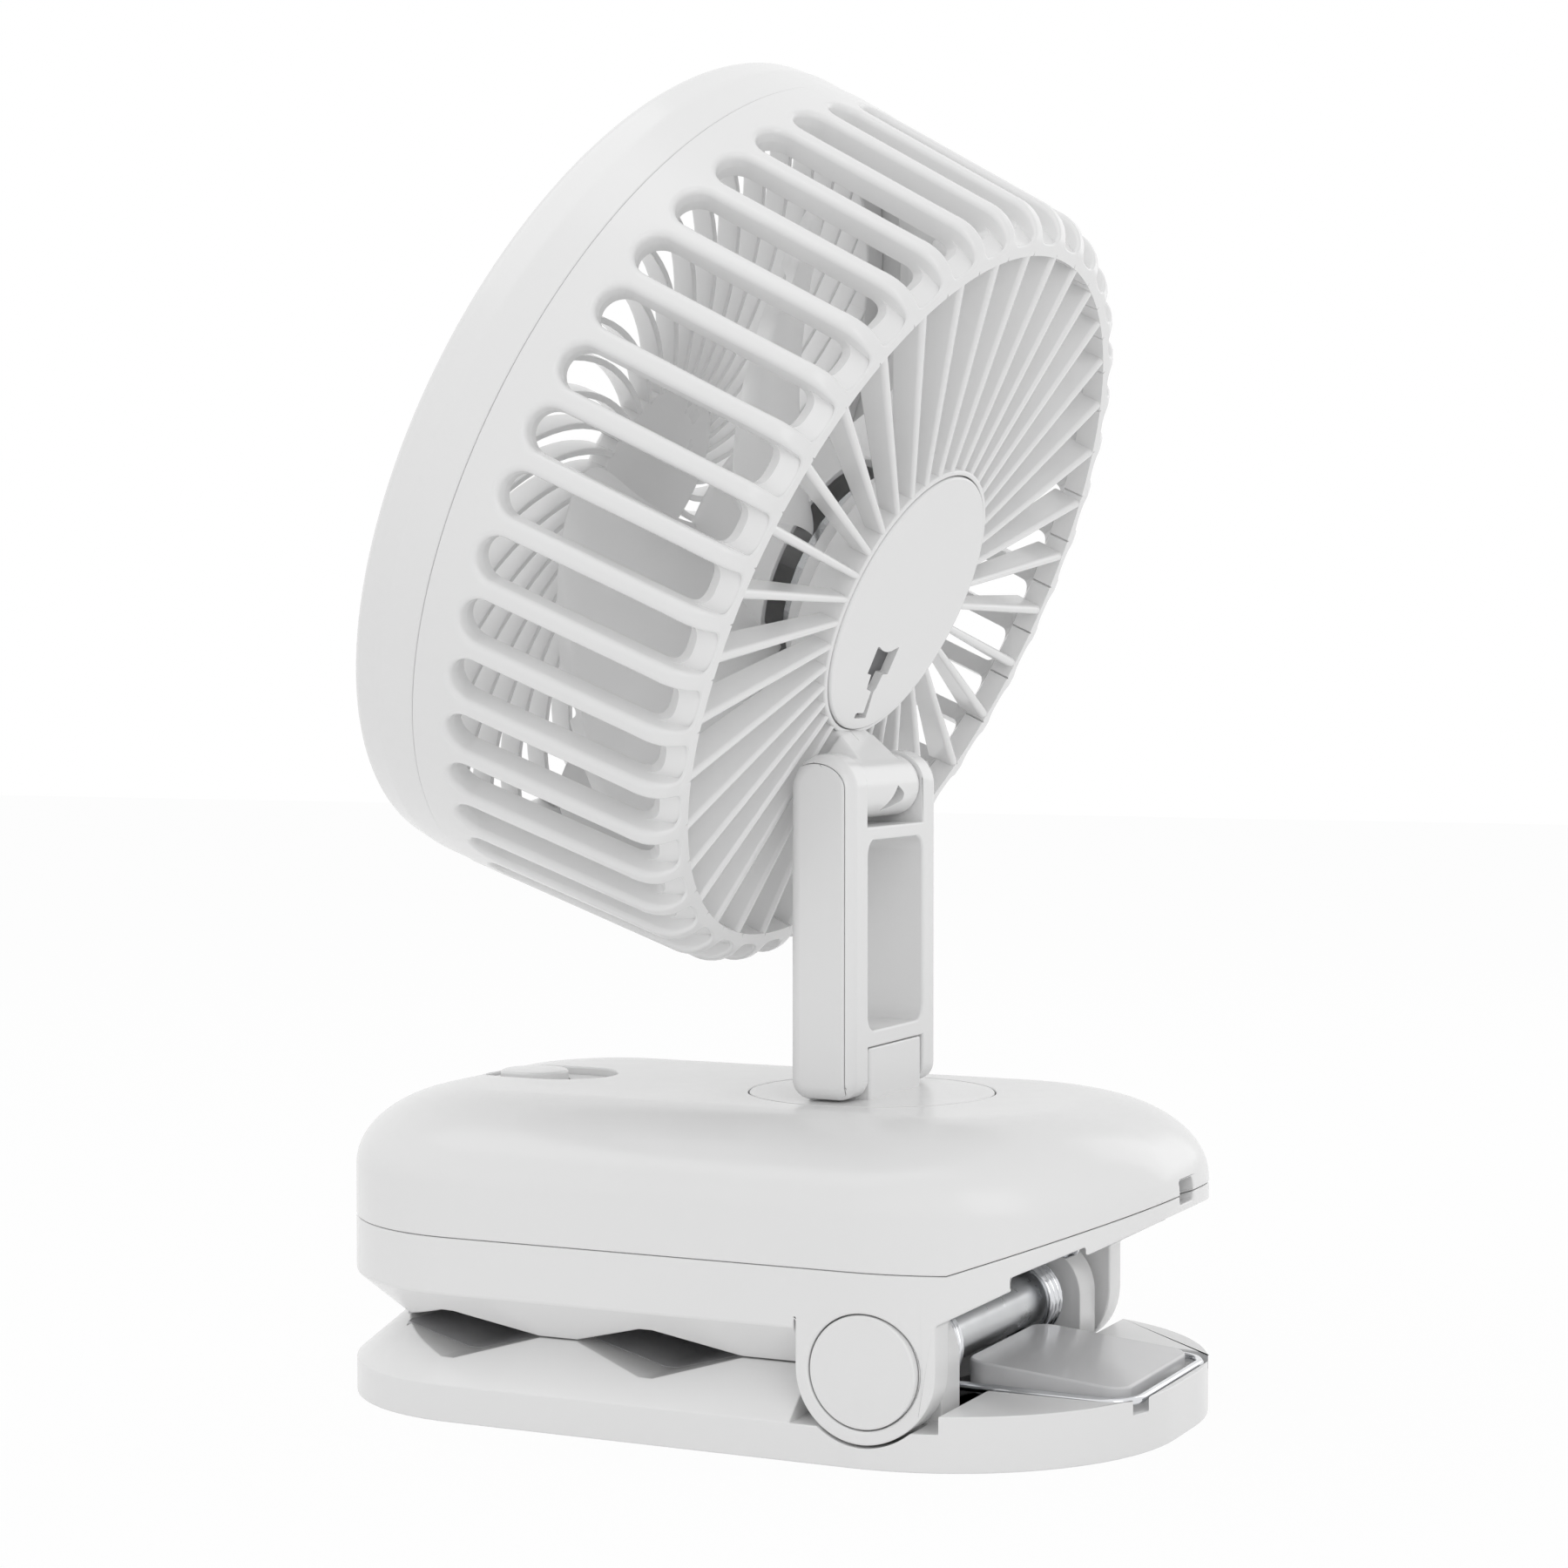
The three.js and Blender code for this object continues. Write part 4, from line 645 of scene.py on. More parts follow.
def lower_jaw():
    meet, end = MEET - GAP / 2, BULKHEAD - 1
    jaw = outline_body([(0, 0), (PLATE, 0)], "jaw")
    hill = outline_body([(PLATE - 1, 0), (PLATE, 0), (meet, CHAMFER_INSET)])
    keep(hill, side_prism(wave(meet, -1, FAR_FRONT, end) + [(end, 0), (FAR_FRONT, 0)], WIDE))
    tail = block(-WIDE, WIDE, HINGE_Y + EAR + 2 * GAP, FAR_REAR, 0, TAIL)
    join(jaw, hill, in_outline(tail))
    cut(jaw, *both_sides(circle(HINGE_Y, HINGE_Z, EAR + 2 * GAP, 90), HALF_WIDTH - EAR_THICK - 2 * GAP))
    pocket = round_rect(-POCKET_HALF, HINGE_Y, POCKET_HALF, REAR - POCKET_RIM, POCKET_CORNER, 10)
    cut(jaw, cutter(pocket, POCKET_FLOOR, HIGH, along_z))
    web = [(HINGE_Y - LUG, PLATE - 1), (HINGE_Y + LUG, PLATE - 1)] + arc(HINGE_Y, HINGE_Z, LUG, 0, 180, 40)
    join(jaw, *both_sides(web, LUG_IN, LUG_OUT))
    cut(jaw, axle_hole(), wavy_band(-1, GRIP + GAP, GAP), cutter(foot_outline(0), -1, FOOT_SHEET + GAP, along_z))
    white(soften(jaw, 0.3, 34), "lower_jaw", "lower_jaw")


def grips():
    for direction, body, node in ((1, "base", "upper_grip_pad"), (-1, "lower_jaw", "lower_grip_pad")):
        band = wavy_band(direction, GRIP, 0, "grip_" + node.split("_")[0])
        dress(band, body, RUBBER, "grip_rubber", node, sharp=30)


def pads():
    front, floor = HINGE_Y + BARREL + 0.9, POCKET_FLOOR + GAP
    pad = slab("tail_rest", round_rect(-PAD_HALF, front, PAD_HALF, PAD_REAR, PAD_CORNER, 10), floor, HIGH, along_z)
    front, rear = front - 1, PAD_REAR + 1
    keep(pad, side_prism([(front, floor), (rear, floor), (rear, PAD_LOW), (front, PAD_HIGH)], WIDE))
    dress(soften(pad, 0.6, 30), "lower_jaw", CLEAR, "milk_white", "tail_pad")
    foot = slab("foot_sheet", foot_outline(GAP), 0, FOOT_SHEET, along_z, 0.15, 0.15)
    dress(foot, "lower_jaw", RUBBER, "grip_rubber", "foot_pad")
    profile = round_corners(box(AXLE + GAP, GAP - LUG_IN, BARREL, LUG_IN - GAP), 0.4)
    barrel = turned("barrel", profile, 64, about_x(HINGE_Y, HINGE_Z))
    dress(barrel, "lower_jaw", SLEEVING, "dark_plastic", "hinge_barrel")


# ---- clamp spring
def spring_route():
    """Half of the wire, from the upper leg's upturned end through the curl to the middle of the bail."""
    outer = COIL_INNER + COIL_PITCH * COIL_TURNS
    leg_end, tip, bend = HINGE_Y + 12, ROOF - GAP, 1.2
    route = [Vector((outer, leg_end, tip))]
    route += [Vector((outer, leg_end - bend * (1 - math.cos(a)), tip - bend - 1.6 * math.sin(a))) for a in quarter(4)]
    start = Vector((outer, leg_end - 2.4, tip - 3.4))
    begin = Vector((outer, HINGE_Y, HINGE_Z + COIL_RADIUS))
    for share in shares(8):
        lift = Vector((0, 0, 1.3 * math.sin(math.pi * share) * (1 - share)))
        route.append(start.lerp(begin, share) + lift)
    for share in shares(112, 1):
        travel = COIL_TURNS * share
        angle = math.pi / 2 + 2 * math.pi * travel
        route.append(Vector((outer - COIL_PITCH * travel, HINGE_Y + COIL_RADIUS * math.cos(angle),
                             HINGE_Z + COIL_RADIUS * math.sin(angle))))
    bail = [Vector((u, v, BAIL_Z)) for u, v in
            arc(COIL_INNER - BAIL_BEND, BAIL_REAR - BAIL_BEND, BAIL_BEND, 0, 90, 12)]
    return route + [route[-1].lerp(bail[0], k / 9) for k in range(1, 9)] + bail


def clamp_spring():
    half = spring_route()
    route = half + [Vector((-p.x, p.y, p.z)) for p in reversed(half)]
    across, loops = Vector((1, 0, 0)), []
    for i, here in enumerate(route):
        along = (route[min(i + 1, len(route) - 1)] - route[max(i - 1, 0)]).normalized()
        across = (across - along * across.dot(along)).normalized()
        third = along.cross(across)
        loops.append([here + across * u + third * v for u, v in circle(0, 0, WIRE, 14)])
    wire = stack("spring_wire", loops)
    wire.data.materials.append(CHROME)
    wire.data.shade_smooth()
    wire.data.set_sharp_from_angle(angle=math.radians(50))
    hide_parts("clamp_spring")
    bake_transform(wire)


# ---- button, port and turntable
def button_and_tray():
    tray = slab("tray", tray_outline(GAP), TRAY_FOOT, TRAY_TOP, along_z, 0.2, 0.3)
    cut(tray, through(circle(0, BUTTON_Y, BUTTON + GAP, 72), TRAY_FOOT, TRAY_TOP, along_z, 0.3))
    dress(tray, "base", SATIN, "white", "button_tray")
    foot, flange, stem = TOP - WALL - 7.4 + GAP + 1, TRAY_FOOT - GAP, 2.2
    profile = [(AXIS, foot), (stem, foot), (stem, flange - 1), (BUTTON_FLANGE, flange - 1),
               (BUTTON_FLANGE, flange), (BUTTON, flange), (BUTTON, BUTTON_EDGE)]
    profile += [(BUTTON - 0.9 * (1 - math.cos(a)), BUTTON_EDGE + 0.7 * math.sin(a)) for a in quarter(5, 1)]
    profile += [(BUTTON * 0.8, 70.28), (BUTTON * 0.5, 70.38), (AXIS, 70.4)]
    white(turned("push_button", profile, 72, about_z(BUTTON_Y)), "power_button", "power_button")


def charging_port():
    half, tall, rear, wall = PORT_HALF - GAP, PORT_TALL - GAP, REAR - PORT_BACK, 0.5
    front = rear - PORT_LENGTH
    outer = round_rect(-half, PORT_Z - tall, half, PORT_Z + tall, PORT_CORNER, 10)
    inner = round_rect(wall - half, PORT_Z - tall + wall, half - wall, PORT_Z + tall - wall, PORT_CORNER - 0.4, 10)
    shell = slab("port_shell", outer, front, rear, along_y, 0, 0.15)
    cut(shell, cutter(inner, front + 1, rear + 1, along_y))
    dress(shell, "base", PLATED, "steel", "charging_port")
    plate = round_rect(-half * 0.7, PORT_Z - 0.4, half * 0.7, PORT_Z + 0.4, 0.2, 4)
    tongue = slab("port_tongue", plate, front + wall, rear - 1, along_y, 0, 0.2)
    dress(tongue, "base", DARK, "dark_plastic", "charging_port")


def turntable():
    ledge, foot = TOP - TABLE_FLANGE, TOP - TABLE_DEEP + GAP
    profile = round_corners(
        [(7, foot), (TABLE_NECK, foot), (TABLE_NECK, ledge), (TABLE, ledge), (TABLE, TOP), (7, TOP)],
        [0.2, 0.3, 0, 0.2, 0.35, 0])
    disc = turned("table_disc", profile, 128, about_z())
    join(disc, turned("plug", box(AXIS, ledge, 7.5, TOP), 128, about_z()))
    white(disc, "turntable", "turntable")
    tab = [(FOLD_Y - LEG_CORNER + GAP, TOP - 1), (TAB_REAR, TOP - 1)]
    tab += arc(TAB_REAR - 0.5, TAB_HIGH - 0.5, 0.5, 0, 90, 5) + arc(FOLD_Y + 0.4, TAB_HIGH - 4.4, 4.4, 90, 180, 10)
    bracket = slab("bracket", tab, -TAB_HALF, TAB_HALF, along_x, 0.8, 0.8)
    cut(bracket, through(circle(FOLD_Y, FOLD_Z, FOLD_PIN), -TAB_HALF, TAB_HALF, along_x, 0.3))
    white(bracket, "turntable", "turntable")


# ---- arm
def arm_outline(drawn):
    corner, foot = LEG_CORNER - drawn, TOP + ARM_LIFT + LEG_CORNER
    front, rear = ARM_Y - ARM_DEPTH + LEG_CORNER, ARM_Y + ARM_DEPTH - LEG_CORNER
    return (arc(ARM_Y, TILT_Z, ARM_DEPTH - drawn, 0, 180, 24)
            + arc(front, foot, corner, 180, 270, 8) + arc(rear, foot, corner, 270, 360, 8))


def arm_block(name):
    """The arm's outer shape, rounded towards both sides."""
    levels = ends(-ARM_WIDTH, ARM_WIDTH, ARM_EDGE, ARM_EDGE, 7)
    return stack(name, [[(at, y, z) for y, z in arm_outline(drawn)] for at, drawn in levels])


def cover_outline(margin):
    """The cover's seam: a round top and a straight rear line; it runs off the arm in front and at the foot."""
    high, rear = ARM_DEPTH - COVER_INSET - margin, ARM_Y + ARM_DEPTH - COVER_INSET - margin
    wide = rear - COVER_MIDDLE
    top = [(COVER_MIDDLE + wide * u, TILT_Z + high * v) for u, v in arc(0, 0, 1, 0, 180, 28)]
    return top + [(COVER_MIDDLE - wide, COVER_FOOT), (rear, COVER_FOOT)]


def arm_frame():
    arm = arm_block("arm_body")
    half = FORK - GAP
    window = round_rect(-half, WINDOW_FOOT, half, WINDOW_HEAD, WINDOW_CORNER)
    fork = box(-FORK, WINDOW_HEAD + YOKE_BAR, FORK, TILT_Z + 12)
    feet = box(-half, COVER_FOOT, half, WINDOW_FOOT - CROSSBAR)
    for opening, flare in ((window, 0.6), (fork, 0.5), (feet, 0.5)):
        cut(arm, through(opening, ARM_Y - ARM_DEPTH, ARM_Y + ARM_DEPTH, along_y, flare))
    cut(arm, *both_sides(cover_outline(0), ARM_WIDTH - COVER_THICK, ARM_WIDTH + 1)[::-1])
    for pin in (circle(ARM_Y, TILT_Z, TILT_PIN), circle(FOLD_Y, FOLD_Z, FOLD_PIN)):
        cut(arm, cutter(pin, -PIN_HALF, PIN_HALF, along_x))
    white(soften(arm, 0.25, 50, 2), "arm", "arm_frame")


def arm_covers():
    covers = both_sides(cover_outline(SEAM_GAP), ARM_WIDTH - COVER_THICK + SEAM_GAP, ARM_WIDTH + 1)
    for cover, name in zip(covers, ("right", "left")):
        cover.name = "side_" + name
        keep(cover, arm_block("limit"))
        white(soften(cover, 0.12, 60, 2), "arm", "arm_cover_" + name)


base_top_shell()
base_lower_shell()
hinge_caps()
lower_jaw()
grips()
pads()
clamp_spring()
button_and_tray()
charging_port()
turntable()
arm_frame()
arm_covers()


# ---- head
# "depth" runs forward from the flat back of the cage, "turn" goes round the fan's axis from the top towards +X
SPIN = JOINTS["fan_spin"]
FAN_AXIS = Vector(SPIN["axis"]).normalized()
FAN_UP = FAN_AXIS.cross(Vector((1, 0, 0)))
FAN_CENTRE = Vector(SPIN["pos_m"]) / MM
SLOTS, SLOT_TURN, SPOKES = 42, math.radians(0.2), 36
SECTOR = math.pi / SLOTS
CAGE_RADIUS, SHOULDER, BACK_RADIUS, SHOULDER_DEPTH = 97.0, 92.2, 84.8, 8.6
SEAM_DEPTH, CAGE_WALL, RIM = 61.2, 5.2, 82.2
SLOT_HALF, SLOT_FRONT, SLOT_BACK, SLOT_CORNER, SLOT_EDGE = 4.85, 53.0, 4.0, 4.0, 1.5
RECESS_HALF, RECESS_RADIUS, RECESS_CORNER, RIM_EDGE = 4.6, 84.9, 3.0, 0.5
SPOKE_HALF, SPOKE_SPREAD, SPOKE_DEPTH, SPOKE_FALL = 0.80, 0.38, 5.0, 2.6
HUB, HUB_DEPTH, CAP_DISC, CAP_DISC_THICK = 32.2, 10.0, 30.7, 1.8
CUP, CUP_DEPTH = 24.5, 16.0
KNUCKLE, KNUCKLE_HALF, NECK_HALF, HEAD_RISE, BACK_SET = 7.0, 15.1, 8.5, 41.1, 8.0
BLADE_ROOT, BLADE_TIP, BLADE_DEPTH, BLADE_ROOT_REACH, BLADE_TIP_REACH = 23.6, 84.0, 31.0, 13.0, 21.0
BLADE_SWEEP, BLADE_TURN, BLADE_HALF = math.radians(80), math.radians(46), 0.8
HUB_FRONT, SPINNER, SPINNER_RISE = 48, 9, 3.4
RING, RING_FRONT, RING_WALL, RING_LIP = 97.5, 78.4, 2.6, 90.6
GRILLE_FRONT, GRILLE_BACK, GRILLE_HUB, GRILLE_RIBS, GRILLE_SWEEP = 76.4, 70.4, 23.0, 36, math.radians(34)


def head_plane(x, up, depth):
    """A point of the head by its place across, up and in depth from the middle of the cage's back."""
    return FAN_CENTRE + FAN_AXIS * depth + Vector((1, 0, 0)) * x + FAN_UP * up


def in_head(radius, depth, turn):
    return head_plane(radius * math.sin(turn), radius * math.cos(turn), depth)


def cage_skin():
    """The outer skin from the rim over the shoulder to the seam, as (travel, radius, depth)."""
    line = [(RIM, 0.0), (BACK_RADIUS, 0.0)]
    line += [(BACK_RADIUS + (SHOULDER - BACK_RADIUS) * math.sin(angle), SHOULDER_DEPTH * (1 - math.cos(angle)))
             for angle in quarter(24, 1)]
    line += [(SHOULDER + (CAGE_RADIUS - SHOULDER) * share, SHOULDER_DEPTH + (SEAM_DEPTH - SHOULDER_DEPTH) * share)
             for share in shares(24, 1)]
    out = [(0.0, *line[0])]
    for before, here in zip(line, line[1:]):
        out.append((out[-1][0] + math.dist(before, here), *here))
    return out


SKIN = cage_skin()
SKIN_LENGTH = SKIN[-1][0]


def on_line(table, at):
    """The (radius, depth) of a line of (travel, radius, depth) rows at a travel."""
    at = min(max(at, table[0][0]), table[-1][0])
    for (t0, r0, d0), (t1, r1, d1) in zip(table, table[1:]):
        if at <= t1:
            share = (at - t0) / (t1 - t0)
            return r0 + (r1 - r0) * share, d0 + (d1 - d0) * share
    return table[-1][1:]


def travel_at(depth):
    for (t0, _, d0), (t1, _, d1) in zip(SKIN, SKIN[1:]):
        if d0 <= depth <= d1 and d1 > d0:
            return t0 + (t1 - t0) * (depth - d0) / (d1 - d0)
    return SKIN_LENGTH


def skin_normal(at):
    r0, d0 = on_line(SKIN, at - 0.4)
    r1, d1 = on_line(SKIN, at + 0.4)
    length = math.hypot(r1 - r0, d1 - d0)
    return (d1 - d0) / length, -(r1 - r0) / length


def below_skin(at, drop):
    radius, depth = on_line(SKIN, at)
    nr, nd = skin_normal(at)
    return radius - nr * drop, depth - nd * drop


RECESS = RECESS_RADIUS - RIM
HOLE, HOLE_CENTRE = travel_at(SLOT_BACK), travel_at(SLOT_BACK + SLOT_CORNER)
INNER = [(0.0, RIM, 5.0), (BACK_RADIUS - RIM, 83.6, 5.4), (HOLE, 85.4, 6.4),
         (HOLE_CENTRE, 86.6, 9.4), (SKIN_LENGTH, CAGE_RADIUS - CAGE_WALL, SEAM_DEPTH)]
FLOOR = [(RECESS, RECESS_RADIUS, 0.5), (HOLE, 86.9, SLOT_BACK),
         (HOLE_CENTRE, 88.6, SLOT_BACK + SLOT_CORNER), (SKIN_LENGTH, CAGE_RADIUS - 2.6, SEAM_DEPTH)]


def ramp(at, start, full, low, high):
    return low + (high - low) * min(1.0, max(0.0, (at - start) / (full - start)))


def slot_half(at):
    """Half width of a slot along the skin: narrower on the back, full a little way along the drum."""
    return ramp(at, RECESS + RECESS_CORNER, travel_at(14.0), RECESS_HALF, SLOT_HALF)


def edge_at(at):
    """How far the slot's edge is rounded: little on the rim, fully on the drum."""
    return ramp(at, RECESS, travel_at(6.0), RIM_EDGE, SLOT_EDGE)


def squared_end(half, reach, steps, power=0.7):
    """A slot's end between a half circle and a square, as (across, along) from its tip to its side."""
    return [(half * math.sin(a) ** power, reach * max(0.0, math.cos(a)) ** power) for a in quarter(steps)]


def slot_edge():
    """Half of the slot's long outline as (across, travel, outward normal), from its back end to its front end."""
    centre, front, shoulder = RECESS + RECESS_CORNER, travel_at(SLOT_FRONT) - SLOT_HALF, travel_at(SHOULDER_DEPTH + 3)
    line = [(across, centre - along) for across, along in squared_end(RECESS_HALF, RECESS_CORNER, 10)]
    marks = []
    for start, end, steps in ((centre, HOLE_CENTRE, 6), (HOLE_CENTRE, shoulder, 5), (shoulder, front, 7)):
        marks += [start + (end - start) * share for share in shares(steps, 1)]
    line += [(slot_half(t), t) for t in marks[:-1]]
    line += [(SLOT_HALF * math.cos(a), front + SLOT_HALF * math.sin(a)) for a in quarter(10)]
    path = []
    for here, (a0, t0), (a1, t1) in zip(line, line[:1] + line, line[1:] + line[-1:]):
        length = math.hypot(a1 - a0, t1 - t0)
        path.append((*here, (t1 - t0) / length, (a0 - a1) / length))
    path[0] = (*line[0], 0.0, -1.0)
    path[-1] = (*line[-1], 0.0, 1.0)
    return path, centre, front


def sector_bounds(path, back, front):
    """Where half a sector's edge lies opposite each point of the slot's outline, as (turn, travel)."""
    bounds = []
    for across, t, _, _ in path:
        centre, room = (back, -back) if t < back - 1e-6 else (front, SKIN_LENGTH - front)
        if back - 1e-6 <= t <= front + 1e-6:
            bounds.append((SECTOR, t))
            continue
        turn = math.atan2(across, abs(t - centre))
        if turn <= math.pi / 4:
            bounds.append((SECTOR * math.tan(turn), centre + room))
        else:
            bounds.append((SECTOR, centre + room / math.tan(turn)))
    return bounds


def between(near, far, share):
    return [tuple(p + (q - p) * share for p, q in zip(*pair)) for pair in zip(near, far)]


def sector_rows():
    """Rows of (radius, depth, turn) for half a sector of the cage's drum, each row along the slot's edge."""
    path, back, front = slot_edge()
    bounds = sector_bounds(path, back, front)

    def skin_point(across, t, drop=0.0):
        return (*below_skin(t, drop), across / on_line(SKIN, t)[0])

    def sunk(table, points):
        return [(*on_line(table, t), across / on_line(SKIN, t)[0]) for across, t in points]

    row = []
    for (across, t, na, nt), (turn, edge_t) in zip(path, bounds):
        a, s = across + na * edge_at(t), t + nt * edge_at(t)
        row.append(skin_point((a + turn * on_line(SKIN, edge_t)[0]) / 2, (s + edge_t) / 2))
    rows = [[(*on_line(SKIN, t), turn) for turn, t in bounds], row]
    for angle in quarter(5):
        out, drop = 1 - math.sin(angle), 1 - math.cos(angle)
        rows.append([skin_point(across + na * out * edge_at(t), t + nt * out * edge_at(t), drop * edge_at(t))
                     for across, t, na, nt in path])
    outline = [point[:2] for point in path]
    hole = [i for i, (_, t) in enumerate(outline) if t >= HOLE_CENTRE - 1e-6][0]
    squared = [(across, HOLE_CENTRE - along) for across, along in
               squared_end(outline[hole][0], HOLE_CENTRE - HOLE, hole)]
    outline, opening = sunk(FLOOR, outline), squared[:hole] + outline[hole:]
    lip, inside = sunk(FLOOR, opening), sunk(INNER, opening)
    rows += [between(outline, lip, share) for share in (0, 0.35, 0.7, 0.93, 1)]
    rows += [between(lip, inside, share) for share in (0.12, 0.9)]
    return rows + [[(r, d, turn * 1.02) for r, d, turn in inside], [(*on_line(INNER, t), turn) for turn, t in bounds]]


def cage_drum():
    rows = sector_rows()
    stride, last = len(rows[0]), (len(rows) - 1) * len(rows[0])
    on_rim = [j for j in range(stride - 1) if min(rows[0][j][2], rows[0][j + 1][2]) < SECTOR - 1e-6]
    verts, faces = [], []
    for slot in range(SLOTS):
        middle = (2 * slot + 1) * SECTOR + SLOT_TURN
        for flip in (1, -1):
            base = len(verts)
            verts += [in_head(r, d, middle + flip * turn) for row in rows for r, d, turn in row]
            faces += bands(base, len(rows), stride, False)
            faces += [(base + j, base + last + j, base + last + j + 1, base + j + 1) for j in on_rim]
    white(mesh_object("cage_drum", verts, faces), "head", "rear_cage", sharp=44)


def cage_spokes():
    """Deep blades from the hub to the rim, wider and deeper towards the rim, with rounded backs."""
    inner, outer, top, edge = HUB - 0.6, RIM + 0.5, 0.05, 0.4
    spokes = []
    for k in range(SPOKES):
        loops = []
        for share in shares(6):
            radius = inner + (outer - inner) * share
            half, deep = SPOKE_HALF + SPOKE_SPREAD * share, SPOKE_DEPTH + SPOKE_FALL * share
            section = [(-half * 0.8, deep), (-half, deep - edge)]
            section += [(-half * u, top + half * (1 - v)) for u, v in arc(0, 0, 1, 0, 180, 8)]
            section += [(half, deep - edge), (half * 0.8, deep)]
            loops.append([in_head(radius, depth, 2 * math.pi * k / SPOKES + math.asin(across / radius))
                          for across, depth in section])
        spokes.append(loops)
    white(stack("cage_spokes", *spokes), "head", "rear_cage")


def motor_mount():
    floor, wall, bush = CAP_DISC_THICK + GAP, 2.0, 5.6
    profile = round_corners([
        (CAP_DISC + GAP, 0), (HUB, 0), (HUB, HUB_DEPTH), (CUP, HUB_DEPTH), (CUP, CUP_DEPTH),
        (CUP - wall, CUP_DEPTH), (CUP - wall, floor + wall), (bush, floor + wall), (bush, CUP_DEPTH - 1),
        (4.5, CUP_DEPTH - 1), (4.5, floor), (CAP_DISC + GAP, floor)],
        [0.25, 0.5, 0.6, 0.6, 0.5, 0.5, 0.8, 0.5, 0.2, 0.2, 0.2, 0.2])
    white(turned("motor_mount", profile, 128, in_head), "head", "rear_cage")


def local_side(u, v, w):
    """A point of the head by (back, up, across) from the tilt axis."""
    return Vector((w, ARM_Y, TILT_Z)) - FAN_AXIS * u + FAN_UP * v


def local_back(u, v, w):
    return local_side(w, v, u)


def neck():
    """The tongue under the hub that flares into the barrel on the tilt axis."""
    low, deep, wide = HEAD_RISE - CAP_DISC, -BACK_SET - HUB_DEPTH, KNUCKLE_HALF - 0.2
    side = [(deep, low - GAP), (-BACK_SET, low - GAP), (KNUCKLE * 0.45, KNUCKLE * 0.88), (0, -KNUCKLE * 0.4),
            (-KNUCKLE * 0.9, -KNUCKLE * 0.2), (-BACK_SET, -KNUCKLE * 0.2), (deep, KNUCKLE)]
    body = slab("neck", round_corners(side, [0.4, 0.4, 1, 1, 1, 3, 1]), -NECK_HALF, NECK_HALF, local_side, 1.4, 1.4)
    barrel = slab("barrel", circle(0, 0, KNUCKLE, 72), -KNUCKLE_HALF, KNUCKLE_HALF, local_side, 0.4, 0.4)
    flare = [(-wide, 0), (wide, 0), (NECK_HALF, low), (-NECK_HALF, low)]
    web = slab("flare", flare, -KNUCKLE, KNUCKLE * 0.2, local_back)
    join(body, barrel, keep(web, slab("limit", side, -WIDE, WIDE, local_side)))
    modifier = body.modifiers.new("even", "REMESH")
    modifier.mode = "VOXEL"
    modifier.voxel_size = 0.45 * MM
    modifier = applied(body).modifiers.new("ease", "SMOOTH")
    modifier.factor = 0.5
    modifier.iterations = 7
    applied(body)
    drop = round_corners([(-2.6, 3.3), (-6.7, 1.4), (-6.4, -0.4), (3.0, -3.1)], [0.6, 1.4, 0.7, 0.3], 6)
    seat = box(AXIS, -1, CAP_DISC + GAP, CAP_DISC_THICK + GAP)
    hair = box(1.75, -41.0, 2.0, -30.0)
    cut(body, cutter(drop, 0, KNUCKLE + 2, local_back), cutter(circle(0, 0, TILT_PIN), -WIDE, WIDE, local_side),
        turned("cutter", seat, 128, in_head), cutter(hair, -3, 0.35, head_plane))
    white(body, "head", "rear_cage", sharp=50)


def rear_cap():
    """The disc over the motor, with the stepped cut-out and slit that the cable tab leaves; a near-black sheet paints
    shade on their floor.
    """
    profile = round_corners(box(AXIS, -0.5, CAP_DISC, CAP_DISC_THICK), [0, 0.6, 0, 0])
    disc = turned("cap_disc", profile, 160, in_head)
    window = round_corners([
        (7.0, -10.2), (6.0, -10.4), (4.0, -11.1), (2.4, -11.4), (0.7, -11.5), (-1.0, -11.3), (-2.6, -10.8),
        (-4.5, -10.1), (-4.5, -16.9), (-1.9, -17.0), (-1.5, -20.4), (-0.9, -21.3), (-2.4, -26.6), (-2.8, -27.8),
        (3.5, -27.8), (3.6, -26.8), (2.9, -26.5), (-0.4, -26.5), (0.5, -21.2), (3.4, -20.6), (4.4, -17.1),
        (6.6, -16.9)], 0.25, 3)
    cut(disc, cutter(window, -3, 4, head_plane))
    white(disc, "head", "rear_cap")
    # a thin near-black sheet at the floor of the cut-out and slit: painted shade for the gap
    floor = slab("cutout_shade_sheet", inset(window, -0.05), CAP_DISC_THICK - 0.35, CAP_DISC_THICK, head_plane)
    dress(floor, "head", PAINTED_SHADE_GREY, "grey_plastic", "rear_cap")


def blade_points(turn0, offset, rows, columns):
    """One side of a blade: broad, square-tipped with round corners, and twisted round the fan's axis."""
    grid = []
    for angle in quarter(rows):
        share = math.sin(angle)
        radius = BLADE_ROOT + (BLADE_TIP - BLADE_ROOT) * share
        past = max(0.0, (radius / BLADE_TIP - 0.6) / 0.4)
        round_end = max(0.05, (1 - past ** 3) ** (1 / 3))
        span = BLADE_SWEEP * (0.62 + 0.38 * share) * round_end
        reach = (BLADE_ROOT_REACH + (BLADE_TIP_REACH - BLADE_ROOT_REACH) * share) * round_end
        for across in [2 * column / columns - 1 for column in range(columns + 1)]:
            edge = math.sqrt(max(0.04, 1 - across ** 4))
            depth = BLADE_DEPTH - reach * across + 3 * (across * across - 1)
            grid.append(in_head(radius, depth + offset * edge, turn0 + across * span / 2))
    return grid


